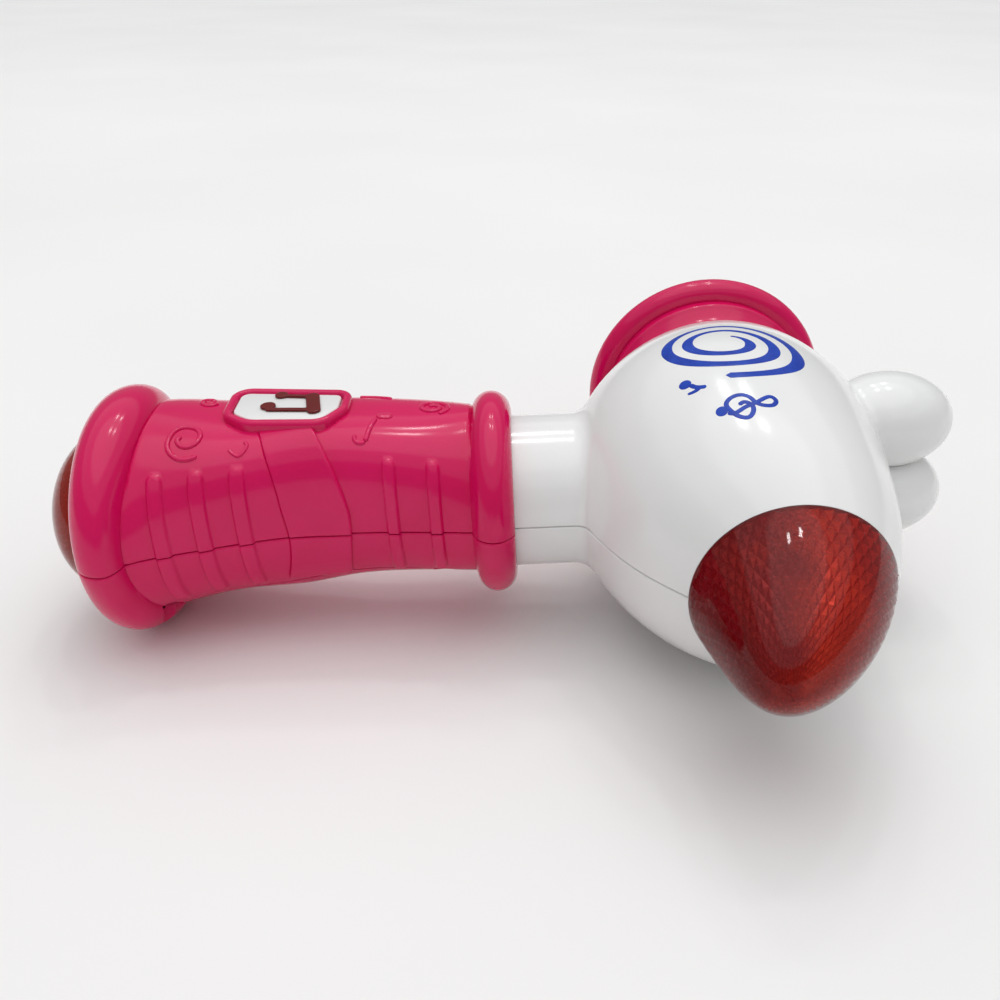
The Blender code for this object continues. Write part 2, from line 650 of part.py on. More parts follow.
def head_cavity(look, root):
    stations = [(y, r) for y, r in head_profile(-WALL) if -50 < y < 40]
    cavity = helper(turned("head_cavity", stations, MIDDLING, look, root, "Y", head_centre))
    neck = rod("neck_bore", "X", (0, 0), NECK_BORE, SPIGOT_END - 2, -20.0, look, root)
    front = rod("front_mouth", "Y", (HEAD_FRONT_X, 0.0), HEAD_MOUTH, HEAD_FRONT - 3, -44.0, look, root,
                MIDDLING)
    back = rod("back_mouth", "Y", (HEAD_BACK_X, 0.0), BELL_SPIGOT + FIT, 30.0, HEAD_BACK + 3, look, root,
               MIDDLING)
    combine(cavity, "UNION", neck, front, back, lobe(1, WALL, look, root), lobe(-1, WALL, look, root))
    posts = [rod(f"head_post_{i}", "Z", at, BOSS_RADIUS, -50.0, 50.0, look, root)
             for i, at in enumerate(HEAD_SCREWS)]
    return cut(cavity, *posts)


def head_shells(looks, root):
    white = looks["white"]
    form = head_form(white, root)
    cavity = head_cavity(white, root)
    low, high = (SPIGOT_END - 3, -60.0), (70.0, 50.0)
    for name, side in (("head_upper_shell", 1), ("head_lower_shell", -1)):
        shell = combine(half_space(name, side, low, high, white, root), "INTERSECT", form)
        cut(shell, cavity)
        for i, at in enumerate(HEAD_SCREWS):
            cut(shell, *screw_holes(f"head_screw_{i + 1}", at, side, white, root))
    for i, at in enumerate(HEAD_SCREWS):
        screw(f"head_screw_{i + 1}", at, looks["steel"], root)


def lens_profile(radius, height, steps):
    """A blunt dome: its radius falls from the base like a parabola's."""
    rises = [math.sin(math.pi / 2 * k / steps) for k in range(steps + 1)]
    return [(HEAD_FRONT - FIT - height * t, radius * max(1 - t ** 1.1, 0.0) ** 0.5) for t in rises]


def lens_centre(y):
    t = max(0.0, (HEAD_FRONT - FIT - y) / LENS_HEIGHT)
    return HEAD_FRONT_X + LENS_HEIGHT * (LENS_SAG[0] * t + LENS_SAG[1] * t * t), 0.0


def head_light(looks, root):
    outer = lens_profile(LENS_RADIUS, LENS_HEIGHT, 7)
    inner = lens_profile(HEAD_MOUTH - FIT - LENS_WALL, LENS_HEIGHT - LENS_WALL, 5)
    skirt = HEAD_MOUTH - FIT
    base = [(HEAD_FRONT - FIT, skirt), (-50.3, skirt), (-50.3, skirt - LENS_WALL)]
    turned("head_lens", [*reversed(outer), *base, *inner], MIDDLING, looks["lens"], root, "Y", lens_centre)
    board = -43.8
    at = (HEAD_FRONT_X, 0.0)
    rod("head_led_board", "Y", at, 19.0, board - 1.6, board, looks["board"], root)
    for i in range(3):
        angle = math.radians(90 + 120 * i)
        spot = (at[0] + 8.5 * math.cos(angle), 8.5 * math.sin(angle))
        led(f"head_led_{i + 1}", "Y", spot, board - 1.6 - BESIDE, -1, looks["led"], root)
    dish = ((-45.8, 13.5), (-45.8, 14.7), (-49.4, 19.3), (-50.0, 19.3), (-50.0, 18.2), (-46.6, 13.5))
    turned("head_reflector", dish, COARSE, looks["white"], root, "Y", straight(at), closed=True)


def bell_parts(looks, root):
    """The flared bell with its end bead, the slotted face in it, and the speaker behind."""
    bead_points = [(BELL_RING_Y + BELL_BEAD * math.sin(a), BELL_RING_RADIUS + BELL_BEAD * math.cos(a))
                   for a in np.radians((-62, -30, 0, 30, 57.6))]
    outer = [(37.0, BELL_SPIGOT), (HEAD_BACK + FIT, BELL_SPIGOT), (HEAD_BACK + FIT, 27.6), (47.5, 28.0),
             (51.5, 29.6), (54.5, 32.0), (57.0, 32.4)]
    face = [(BELL_FACE, BELL_RING_RADIUS - 2.4), (64.6, BELL_RECESS), (60.0, BELL_RECESS)]
    bore = [(60.0, SPEAKER_RADIUS + 0.7), (56.0, SPEAKER_RADIUS + 0.7), (56.0, 20.8), (50.0, 20.8),
            (37.0, 22.4)]
    at = straight((HEAD_BACK_X, 0.0))
    turned("bell", [*outer, *bead_points, *face, *bore], FINE, looks["pink"], root, "Y", at, closed=True)
    face_low, face_high = 60.0 + BESIDE, 62.0
    grille = rod("speaker_grille", "Y", at(0), BELL_RECESS - FIT, face_low, face_high, looks["pink"], root,
                 FINE)
    for i in range(-3, 4):
        half = math.sqrt(19.0 ** 2 - (i * 5.0) ** 2)
        x = HEAD_BACK_X + i * 5.0
        cut(grille, block(f"slot_{i + 3}", (x - 1.1, face_low - 1, -half), (x + 1.1, face_high + 1, half),
                          looks["pink"], root))
    frame = ((56.0 + BESIDE, SPEAKER_RADIUS), (57.4, SPEAKER_RADIUS), (57.4, 19.6), (54.5, 18.6),
             (49.2, 11.0), (49.2, 9.0), (48.2, 9.0), (48.2, 11.6), (53.6, 19.4), (56.0 + BESIDE, 20.4))
    turned("speaker_frame", frame, COARSE, looks["steel"], root, "Y", at, closed=True)
    magnet = ((41.0, 0), (41.0, 12.5), (48.1, 12.5), (48.1, 0))
    turned("speaker_magnet", magnet, COARSE, looks["dark"], root, "Y", at)
    cone = ((50.4, 0), (50.4, 7.0), (55.4, 17.6), (57.2, 18.8), (57.8, 18.8), (56.0, 17.2), (51.6, 8.0),
            (53.4, 5.0), (54.2, 0))
    turned("speaker_cone", cone, COARSE, looks["dark"], root, "Y", at)


# ---------------------------------------------------------------- assembly


def empty(name, at, parent=None):
    made = bpy.data.objects.new(name, None)
    bpy.context.scene.collection.objects.link(made)
    made["at_mm"] = at
    made.location = (Vector(at) - Vector(parent["at_mm"] if parent else (0, 0, 0))) * MM
    made.parent = parent
    return made


def stand(root):
    """Tips the toy as it rests, and puts the origin under the middle of its box."""
    root.rotation_euler.y = math.radians(REST_TILT)
    bpy.context.view_layer.update()
    graph = bpy.context.evaluated_depsgraph_get()
    low = np.full(3, np.inf)
    high = np.full(3, -np.inf)
    for obj in bpy.context.scene.objects:
        if obj.hide_render or obj.type == "EMPTY":
            continue
        shape = obj.evaluated_get(graph)
        mesh = shape.to_mesh()
        points = np.empty(len(mesh.vertices) * 3)
        mesh.vertices.foreach_get("co", points)
        world = np.array(shape.matrix_world)
        points = points.reshape(-1, 3) @ world[:3, :3].T + world[:3, 3]
        low = np.minimum(low, points.min(axis=0))
        high = np.maximum(high, points.max(axis=0))
        shape.to_mesh_clear()
    middle = (low + high) / 2
    root.location = (-middle[0], -middle[1], -low[2])


def main():
    clear_scene()
    looks = {
        "pink": material("pink_plastic", PINK, 0.25),
        "white": material("white_plastic", WHITE, 0.2),
        "red": material("red_insert", RED, 0.15),
        "lens": material("red_lens", RED, 0.08, transmission=0.7),
        "board": material("circuit_board", (0.03, 0.22, 0.08), 0.45),
        "dark": material("dark_parts", (0.03, 0.03, 0.035), 0.5),
        "steel": material("steel", (0.62, 0.62, 0.64), 0.3, 1.0),
        "battery": material("battery_jacket", (0.05, 0.06, 0.09), 0.35),
        "led": material("lamp_epoxy", (0.85, 0.85, 0.8), 0.1, transmission=0.5),
        "wire_red": material("red_wire", (0.6, 0.03, 0.03), 0.5),
    }
    root = empty("toy_root", (0.0, 0.0, 0.0))
    button_axis = empty("button_axis", (*BUTTON_CENTRE, BUTTON_TOP), root)
    door_axis = empty("door_axis", ((DOOR_X[0] + DOOR_X[1]) / 2, 0.0, -22.0), root)
    form, cavity = grip_shells(looks, root)
    battery_door(form, cavity, looks, door_axis)
    button(looks, button_axis)
    electronics(looks, root)
    batteries(looks, root)
    butt_light(looks, root)
    head_shells(looks, root)
    head_light(looks, root)
    bell_parts(looks, root)
    wires(looks, root)
    stand(root)


main()
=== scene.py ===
import itertools
import json
import math

import bmesh
import bpy
import numpy as np
from mathutils import Matrix, Vector

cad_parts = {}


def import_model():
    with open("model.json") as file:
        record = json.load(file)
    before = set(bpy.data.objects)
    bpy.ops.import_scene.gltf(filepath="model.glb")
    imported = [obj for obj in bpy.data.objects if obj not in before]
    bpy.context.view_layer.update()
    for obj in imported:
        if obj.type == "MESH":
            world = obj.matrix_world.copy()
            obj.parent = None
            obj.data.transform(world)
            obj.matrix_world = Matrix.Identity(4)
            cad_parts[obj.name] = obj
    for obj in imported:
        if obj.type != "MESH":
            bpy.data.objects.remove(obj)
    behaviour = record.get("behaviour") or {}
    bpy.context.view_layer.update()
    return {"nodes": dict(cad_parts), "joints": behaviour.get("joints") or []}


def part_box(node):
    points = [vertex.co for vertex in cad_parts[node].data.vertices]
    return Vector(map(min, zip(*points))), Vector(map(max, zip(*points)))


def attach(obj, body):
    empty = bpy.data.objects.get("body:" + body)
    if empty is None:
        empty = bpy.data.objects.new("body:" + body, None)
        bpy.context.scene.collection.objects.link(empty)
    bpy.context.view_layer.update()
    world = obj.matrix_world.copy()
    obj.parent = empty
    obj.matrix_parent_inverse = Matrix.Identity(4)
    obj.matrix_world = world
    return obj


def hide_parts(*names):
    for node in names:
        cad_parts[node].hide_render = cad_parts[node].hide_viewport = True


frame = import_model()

# Looks of a toy hammer with light and sound. Sizes are millimetres in the design frame, whose origin is
# where the axis of the grip (X) crosses the axis of the head (Y), with the parting plane at Z = 0.

MM = 0.001

SPLIT = 0.15  # half the gap between the upper and the lower shells
FIT = 0.3  # clearance between pieces that touch
SKIN = 2.0  # wall of the shells
RIM_ROWS = ((SPLIT, 0.28), (0.32, 0.08), (0.6, 0.0))  # (height over the parting plane, how far rounded in)

# Grip: (x, half width), (x, height of the crown), (x, depth of the keel)
GRIP_WIDTH = ((-162.5, 31.5), (-159.4, 29.9), (-156.3, 28.7), (-150, 27.0), (-140, 24.5), (-130, 22.3),
              (-120, 20.7), (-105, 20.0), (-90, 20.7), (-72, 22.5))
GRIP_CROWN = ((-162, 29.8), (-157, 29.2), (-150, 28.1), (-135, 26.6), (-115, 27.1), (-100, 26.7),
              (-85, 25.6), (-72, 25.1))
# (x, power of the upper half's superellipse): 2 is an ellipse, more is squarer
GRIP_POWER = ((-160, 2.0), (-150, 2.6), (-140, 3.0), (-95, 3.0), (-85, 2.7), (-73, 2.0))
GRIP_KEEL = ((-160, 28.6), (-150, 26.4), (-140, 24.9), (-120, 24.7), (-108, 22.6), (-95, 21.6),
             (-72, 22.0))
GRIP_STEP = 0.8
GRIP_END = -72.5
BUTT_X = -166.5
BUTT_AXES = (28.15, 25.2)
BUTT_BEAD = 8.7
BUTT_MOUTH = (25.5, 22.6)
BUTT_CAVITY_X = -171.0
BUTT_LENS_X = -174.5
BUTT_LENS_HEIGHT = 14.9
BUTT_EDGE = (-162.3, 4.7)  # x of the grip's end at the parting plane, and how far it moves in on the crown
BUTT_EDGE_END = -155.4  # where lines round the grip run straight again
BUTT_BEAD_ARC = (-107.7, 72.0, 38)  # degrees from the mouth to the grip's end round the bead, and rings
NECK_RING_X = -67.0
NECK_RING_RADIUS = 22.1
NECK_RING_BEAD = (5.5, 6.0)
NECK_RING_ARC = (-70, 95, 22)
NECK_MOUTH_X = (-61.9, -69.0)
NECK_RADIUS = 21.1
NECK_SHOULDER_X = -72.4

# Relief on the grip: bars (x, width), and the ribbon's edges as (angle round the grip, x)
BARS = ((-152.8, 4.2), (-142.5, 4.2), (-132.3, 4.2), (-93.5, 3.6), (-82.1, 3.6))
BAR_HEIGHT = 1.05
BAR_TOP = 136.5
BAR_FOOT = 219.0
GRIP_GIRTH = 25.0  # mean radius that turns angles into lengths on the grip
RIBBON_LEFT = ((111.0, -128.0), (135.4, -124.8), (149.4, -123.1), (164.1, -122.2), (179.8, -121.5),
               (214.1, -124.1))
RIBBON_RIGHT = ((116.9, -113.0), (134.4, -109.4), (146.0, -107.1), (157.6, -105.4), (167.0, -104.6),
                (178.3, -104.7), (217.4, -106.7))
RIBBON_NOMINAL = (-123.5, -107.0)
RIBBON_SPAN = (-129.9, -95.7)
RIBBON_RISE = (0.35, 1.3)

# Button frame: (x, y, corner radius)
FRAME_CORNERS = ((-139.0, 14.6, 5.5), (-104.6, 9.5, 5.0), (-104.6, -2.0, 6.0), (-109.9, -11.3, 6.5),
                 (-131.5, -9.4, 9.0), (-138.9, -3.0, 7.0))
FRAME_TOP = 29.0
FRAME_WIDTH = 2.6
BUTTON_CENTRE = (-121.0, 1.0)
BUTTON_TOP = 28.4
PLATE_UNDER = 26.1

# Battery door and screws
DOOR_X = (-153.4, -88.0)
DOOR_Y = 15.2
DOOR_SCREW = (-148.7, 0.0)
DOOR_SEAT = -20.5
HANDLE_SCREWS = ((-158.2, 18.0), (-158.2, -18.0), (-81.7, 12.5), (-81.7, -12.5))
HEAD_SCREWS = ((-24.0, 20.0), (-24.0, -26.0), (24.0, -26.0), (22.0, 24.0))
SCREW_HEAD = (2.8, 2.0)
SCREW_SHANK = 1.35
SCREW_SEAT = -9.0
SCREW_TIP = 6.5
DOOR_SCREW_TIP = -9.0
WELL = (3.3, 4.4)  # inner and outer radius of a screw's well
DOOR_WELL = (3.2, 4.0)
WELL_FLOOR = 2.0
SCREW_BOX = ((-3.3, -3.3, -2.5), (3.3, 3.3, 0.5))
SCREW_GRID = 0.15
SLOT_HALF = (0.32, 1.5)  # half width and half length of an arm of the cross recess
SLOT_DEPTH = 1.1

# Head: (y, radius) of the turned body, whose centre line bows towards the grip
HEAD_RADII = ((42.8, 28.4), (36, 32.8), (28, 36.8), (16, 40.9), (3, 43.0), (-10, 42.1), (-24, 39.0),
              (-38, 34.2), (-48, 28.9), (-54.9, 24.1))
HEAD_BACK = 42.8
HEAD_FRONT = -54.9
HEAD_CENTRE_X = -4.2
HEAD_FRONT_X = 2.5
HEAD_BACK_X = 2.1
HEAD_MOUTH = 21.8
HEAD_RUN_OUT = (0.70, -0.94)  # slope of the radius past the front and the back
HEAD_BOX = ((-76.0, -58.0, -2.2), (66.0, 47.0, 46.0))
HEAD_GRID = 1.1
NECK_BLEND = 2.8
LOBE_CENTRE = (44.5, 12.1, 11.2)
LOBE_AXES = (18.0, 14.4, 13.5)
LOBE_BLEND = 2.5

# Lens of the head
LENS_HEIGHT = 35.3
LENS_RADIUS = 24.1
LENS_LEAN = (-0.085, -0.166)
HEAD_LENS_FOOT = -50.3
FACET_RELIEF = 0.8
HEAD_FACETS = ((0.95, 1.0), 92, 18)  # (sunk at the side, at the tip), columns, rows
BUTT_FACETS = ((0.95, 1.1), 84, 10)

# Bell
BELL_RING_Y = 62.2
BELL_RING_RADIUS = 33.2
BELL_BEAD = 4.5
BELL_FACE = 66.0
BELL_RECESS = 29.3
BELL_FLARE = ((43.1, 27.6), (47.5, 28.0), (51.5, 29.6), (54.0, 31.6))
BELL_STEP = ((54.25, 31.95), (54.6, 32.15), (55.2, 32.25), (57.0, 32.35), (57.4, 32.25), (57.75, 31.9))
BELL_ARC = (-78, 57.6, 22)
BELL_BORE = ((60.0, 23.3), (56.0, 23.3), (56.0, 20.8), (50.0, 20.8), (37.0, 22.4), (37.0, 25.4), (43.1, 25.4))
GRILLE_Y = (60.05, 62.0)
SOUND_SLOT = (5.0, 1.1, 19.0)  # pitch, half width, radius of the field of slots
ROUND = 144  # sides of the bell and its grille


# ---- places


def design_axes():
    """The design frame's axes as columns, from the line that the button moves along."""
    press = next(j for j in frame["joints"] if j["name"] == "button_press")
    up = -np.array(press["axis"], float)
    up /= np.linalg.norm(up)
    across = np.array((0.0, 1.0, 0.0))
    return np.column_stack((np.cross(across, up), across, up))


BASIS = design_axes()


def design_origin():
    low, high = (np.array(corner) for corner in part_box("bell"))
    face = np.array(((low[0] + high[0]) / 2, high[1], (low[2] + high[2]) / 2))
    return face - BASIS @ np.array((HEAD_BACK_X, BELL_FACE, 0.0)) * MM


ORIGIN = design_origin()


def placed(points):
    """Points of the design frame as metres in the shared frame."""
    return np.asarray(points, float) @ BASIS.T * MM + ORIGIN


# ---- curves and meshes


def curve(points):
    """A natural cubic spline through (x, y) pairs, held level past both ends."""
    at = np.array(sorted(points), float)
    x, y = at[:, 0], at[:, 1]
    step = np.diff(x)
    bend = np.zeros(len(x))
    if len(x) > 2:
        matrix = np.diag(2 * (step[:-1] + step[1:])) + np.diag(step[1:-1], 1) + np.diag(step[1:-1], -1)
        bend[1:-1] = np.linalg.solve(matrix, 6 * np.diff(np.diff(y) / step))

    def value(q):
        q = np.clip(q, x[0], x[-1])
        i = np.clip(np.searchsorted(x, q) - 1, 0, len(x) - 2)
        h = step[i]
        a, b = (x[i + 1] - q) / h, (q - x[i]) / h
        arch = ((a ** 3 - a) * bend[i] + (b ** 3 - b) * bend[i + 1]) * h * h / 6
        return a * y[i] + b * y[i + 1] + arch

    return value


def lengths(path):
    """Length along a path up to each of its points."""
    return np.concatenate([[0], np.cumsum(np.linalg.norm(np.diff(path, axis=0), axis=1))])


def unit(rows):
    return rows / np.linalg.norm(rows, axis=1, keepdims=True)


def through(points, count):
    """Evenly spread points of a smooth curve through a few points in any number of dimensions."""
    points = np.array(points, float)
    along = lengths(points)
    at = np.linspace(0, along[-1], count)
    return np.column_stack([curve(list(zip(along, column)))(at) for column in points.T])


def larger(a, b, blend):
    return np.maximum(a, b) + np.maximum(blend - np.abs(a - b), 0) ** 2 / (4 * blend)


def smaller(a, b, blend):
    return -larger(-a, -b, blend)


def ease(t):
    t = np.clip(t, 0, 1)
    return t * t * (3 - 2 * t)


def merged(*parts):
    """Several (vertices, faces) as one."""
    verts, faces = [], []
    start = 0
    for part_verts, part_faces in parts:
        verts.append(np.asarray(part_verts, float))
        faces += [[i + start for i in face] for face in part_faces]
        start += len(part_verts)
    return np.vstack(verts), faces


def loft(rings, ends=True, ring_closed=True, closed=False):
    """A skin over rings with the same number of points; ends caps the first and the last ring."""
    count = len(rings[0])
    faces = []
    last = len(rings) if closed else len(rings) - 1
    for r in range(last):
        a, b = r * count, (r + 1) % len(rings) * count
        for i in range(count if ring_closed else count - 1):
            j = (i + 1) % count
            faces.append([a + i, a + j, b + j, b + i])
    if ends and not closed:
        faces += [list(range(count))[::-1], list(range(len(rings) * count - count, len(rings) * count))]
    return np.vstack([np.asarray(ring, float) for ring in rings]), faces


def turned(profile, segments, axis="Y", centre=(0.0, 0.0), closed=False):
    """A turned form from (place along the axis, radius) pairs."""
    angles = np.linspace(0, 2 * math.pi, segments, endpoint=False)
    rings = []
    for along, radius in profile:
        u, v = centre[0] + radius * np.cos(angles), centre[1] + radius * np.sin(angles)
        w = np.full(segments, float(along))
        rings.append(np.column_stack({"Y": (u, w, v), "Z": (u, v, w)}[axis]))
    return loft(rings, closed=closed)


def face_normals(verts, faces):
    corners = np.array([(f[0], f[1], f[2], f[3] if len(f) > 3 else f[2]) for f in faces])
    a, b, c, d = (verts[corners[:, k]] for k in range(4))
    return np.cross(c - a, d - b), corners


def point_normals(verts, faces):
    crossed, corners = face_normals(verts, faces)
    normals = np.zeros_like(verts)
    for k in range(4):
        np.add.at(normals, corners[:, k], crossed)
    return normals / np.maximum(np.linalg.norm(normals, axis=1, keepdims=True), 1e-12)


def thickened(verts, faces, normals=None):
    """The open skin, a copy of it sunk by the wall, and a rim between them."""
    verts = np.asarray(verts, float)
    if normals is None:
        normals = point_normals(verts, faces)
        normals[np.abs(verts[:, 2]) < RIM_ROWS[-1][0] + 0.01, 2] = 0
    count = len(verts)
    edges = {(a, b) for face in faces for a, b in zip(face, face[1:] + face[:1])}
    rim = [[b, a, a + count, b + count] for a, b in edges if (b, a) not in edges]
    inner = [[i + count for i in reversed(face)] for face in faces]
    return np.vstack([verts, verts - normals * SKIN]), faces + inner + rim


def slope(field, points):
    """The field's gradient at the points."""
    reach = 0.01
    moves = np.eye(3) * reach
    return np.column_stack([field(points + m) - field(points - m) for m in moves]) / (2 * reach)


def settled(field, points):
    """The points moved onto the field's zero surface."""
    for _ in range(4):
        steep = slope(field, points)
        size = np.maximum((steep ** 2).sum(axis=1), 1e-9)
        points = points - steep * (field(points) / size)[:, None]
    return points


def blended(field, low, high, step):
    """A quad skin over the zero surface of a field that is negative inside."""
    axes = [np.arange(a, b + step, step) for a, b in zip(low, high)]
    grid = np.stack(np.meshgrid(*axes, indexing="ij"), -1)
    values = field(grid.reshape(-1, 3)).reshape(grid.shape[:3])
    inside = values < 0
    size = [n - 1 for n in inside.shape]
    corners = sum(inside[i:size[0] + i, j:size[1] + j, k:size[2] + k].astype(int)
                  for i, j, k in itertools.product((0, 1), repeat=3))
    crossed = (corners > 0) & (corners < 8)
    index = np.full(crossed.shape, -1)
    index[crossed] = np.arange(crossed.sum())
    points = np.array(low) + (np.argwhere(crossed) + 0.5) * step
    quads = []
    for axis in range(3):
        b, c = (axis + 1) % 3, (axis + 2) % 3
        first, second = [slice(1, -1)] * 3, [slice(1, -1)] * 3
        first[axis], second[axis] = slice(0, -1), slice(1, None)
        one, two = inside[tuple(first)], inside[tuple(second)]
        base = np.argwhere(one != two)
        leaving = one[one != two]
        base[:, b] += 1
        base[:, c] += 1
        quad = []
        for db, dc in ((-1, -1), (0, -1), (0, 0), (-1, 0)):
            cell = base.copy()
            cell[:, b] += db
            cell[:, c] += dc
            quad.append(index[tuple(cell.T)])
        quad = np.stack(quad, 1)
        quad[~leaving] = quad[~leaving][:, ::-1]
        quads.append(quad)
    return settled(field, points), np.vstack(quads).tolist()


def corner(corners, i):
    """One corner of an outline, and the ways from it to the corners before and after."""
    here = Vector(corners[i][:2])
    before, after = Vector(corners[i - 1][:2]), Vector(corners[(i + 1) % len(corners)][:2])
    return here, (before - here).normalized(), (after - here).normalized()


def inset(corners, by):
    """The convex outline's corners moved inwards, with their radii reduced to match."""
    moved = []
    for i, (_, _, radius) in enumerate(corners):
        here, one, two = corner(corners, i)
        sine = math.sqrt((1 - one.dot(two)) / 2)
        at = here + (one + two).normalized() * (by / sine)
        moved.append((at.x, at.y, max(radius - by, 0.4)))
    return moved


def rounded(corners, steps=9):
    """Points of an outline whose corners are rounded with arcs."""
    points = []
    for i, (_, _, radius) in enumerate(corners):
        here, one, two = corner(corners, i)
        half = math.acos(max(-1.0, min(1.0, one.dot(two)))) / 2
        middle = here + (one + two).normalized() * (radius / math.sin(half))
        start = here + one * (radius / math.tan(half)) - middle
        end = here + two * (radius / math.tan(half)) - middle
        turn = start.angle_signed(end)
        for k in range(steps + 1):
            c, s = math.cos(-turn * k / steps), math.sin(-turn * k / steps)
            points.append((middle.x + c * start.x - s * start.y, middle.y + s * start.x + c * start.y))
    return points


def level(outline, z):
    return [(x, y, z) for x, y in outline]


def within(outline, points):
    """Which of the points are inside a convex outline."""
    outline = np.array(outline)
    ahead = np.roll(outline, -1, axis=0) - outline
    sides = [ahead[i, 0] * (points[:, 1] - outline[i, 1]) - ahead[i, 1] * (points[:, 0] - outline[i, 0])
             for i in range(len(outline))]
    sides = np.array(sides)
    return (sides <= 0).all(axis=0) | (sides >= 0).all(axis=0)


def raw_object(name, verts, faces):
    """A mesh object whose faces all point outwards."""
    mesh = bpy.data.meshes.new(name)
    mesh.from_pydata(np.asarray(verts, float).tolist(), [], faces)
    form = bmesh.new()
    form.from_mesh(mesh)
    bmesh.ops.recalc_face_normals(form, faces=form.faces)
    form.to_mesh(mesh)
    form.free()
    obj = bpy.data.objects.new(name, mesh)
    bpy.context.scene.collection.objects.link(obj)
    return obj


def carved(solid, *cutters):
    """The solid with the cutters taken out of it."""
    body = raw_object("solid", *solid)
    cutter = raw_object("cutter", *merged(*cutters))
    modifier = body.modifiers.new("carve", "BOOLEAN")
    modifier.operation = "DIFFERENCE"
    modifier.solver = "MANIFOLD"
    modifier.object = cutter
    graph = bpy.context.evaluated_depsgraph_get()
    mesh = body.evaluated_get(graph).to_mesh()
    verts = np.array([v.co for v in mesh.vertices])
    faces = [list(p.vertices) for p in mesh.polygons]
    for obj in (body, cutter):
        data = obj.data
        bpy.data.objects.remove(obj)
        bpy.data.meshes.remove(data)
    return verts, faces


def piece(name, form, look, stands_for=(), body="toy", sharp=None, second=None):
    """A shown piece of the toy; second is the look of its flat faces, and the first of them."""
    verts, faces = form
    obj = raw_object(name, placed(verts), faces)
    obj.data.materials.append(LOOKS[look])
    obj.data.shade_smooth()
    if sharp is not None:
        obj.data.set_sharp_from_angle(angle=math.radians(sharp))
    if second:
        obj.data.materials.append(LOOKS[second[0]])
        for polygon in obj.data.polygons[second[1]:]:
            polygon.material_index = 1
            polygon.use_smooth = False
    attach(obj, body)
    if stands_for:
        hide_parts(*stands_for)


# ---- materials

BUMP_DEPTH = 0.0002  # metres


def new_look(name):
    """A new material, its node tree and its shader."""
    made = bpy.data.materials.new(name)
    made.use_nodes = True
    return made, made.node_tree, made.node_tree.nodes["Principled BSDF"]


def feed(tree, node, values):
    """Set a node's inputs to values, or link them to other nodes' outputs."""
    for key, value in values.items():
        if isinstance(value, bpy.types.NodeSocket):
            tree.links.new(value, node.inputs[key])
        else:
            node.inputs[key].default_value = value


def node(tree, kind, out, values, **settings):
    """An output of a new node with the given inputs and settings."""
    made = tree.nodes.new("ShaderNode" + kind)
    for name, setting in settings.items():
        setattr(made, name, setting)
    feed(tree, made, values)
    return made.outputs[out]


def noise(tree, scale, detail=3.0):
    """A noise over the piece's own coordinates."""
    place = node(tree, "TexCoord", "Object", {})
    return node(tree, "TexNoise", "Fac", {"Scale": scale, "Detail": detail, "Vector": place})


def ramp(tree, factor, stops):
    """Colours along a factor, from (place, colour) pairs."""
    made = tree.nodes.new("ShaderNodeValToRGB")
    elements = made.color_ramp.elements
    while len(elements) < len(stops):
        elements.new(0.5)
    for element, (place, colour) in zip(elements, stops):
        element.position = place
        element.color = (*colour, 1.0)
    tree.links.new(factor, made.inputs["Fac"])
    return made.outputs["Color"]


def spread(tree, factor, low, high):
    """The middle part of a noise, spread between two values."""
    return node(tree, "MapRange", "Result",
                {"From Min": 0.3, "From Max": 0.7, "To Min": low, "To Max": high, "Value": factor})


def bump(tree, height, strength):
    return node(tree, "Bump", "Normal", {"Strength": strength, "Distance": BUMP_DEPTH, "Height": height})


def finish_of(name, deep, bright, gloss, coat=0.0, waves=25.0, grain=2500.0, relief=0.02, metallic=0.0,
              shine=0.5):
    """A moulded or coated finish: cloudy colour, uneven gloss and a faint grain."""
    made, tree, shader = new_look(name)
    cloud, fine = noise(tree, waves), noise(tree, grain, 2.0)
    feed(tree, shader, {
        "Base Color": ramp(tree, cloud, ((0.3, deep), (0.7, bright))),
        "Roughness": spread(tree, fine, *gloss), "Normal": bump(tree, fine, relief), "Metallic": metallic,
        "Specular IOR Level": shine, "Coat Weight": coat, "Coat Roughness": 0.03})
    return made


def clear_red(name, deep, bright, alpha):
    """Outer skin of a lens: clear glossy red."""
    made = finish_of(name, deep, bright, (0.03, 0.06), 0.0, 40.0, 1200.0, 0.01, shine=0.4)
    made.node_tree.nodes["Principled BSDF"].inputs["Alpha"].default_value = alpha
    return made


def facet_red_with_painted_light(name, start, end, stops):
    """Cut inner face of a lens, whose red changes from start to end as painted light and shade, under faint
    noise patches.
    """
    made, tree, shader = new_look(name)
    # The way from start to end carries painted light and shade across the lens; the noise adds patches to it.
    first, last = placed([start])[0], placed([end])[0]
    way = (last - first) / np.dot(last - first, last - first)
    place = node(tree, "TexCoord", "Object", {})
    along = node(tree, "VectorMath", "Value", {0: place, 1: tuple(way)}, operation="DOT_PRODUCT")
    share = node(tree, "Math", "Value", {0: along, 1: float(np.dot(first, way))}, operation="SUBTRACT")
    patch = spread(tree, noise(tree, 70.0, 2.0), -0.12, 0.12)
    painted_light_and_patches = node(tree, "Math", "Value", {0: share, 1: patch}, operation="ADD")
    fine = noise(tree, 900.0, 2.0)
    feed(tree, shader, {"Base Color": ramp(tree, painted_light_and_patches, stops), "Roughness": spread(tree, fine, 0.18, 0.32),
                        "Normal": bump(tree, fine, 0.05), "Metallic": 0.55})
    return made


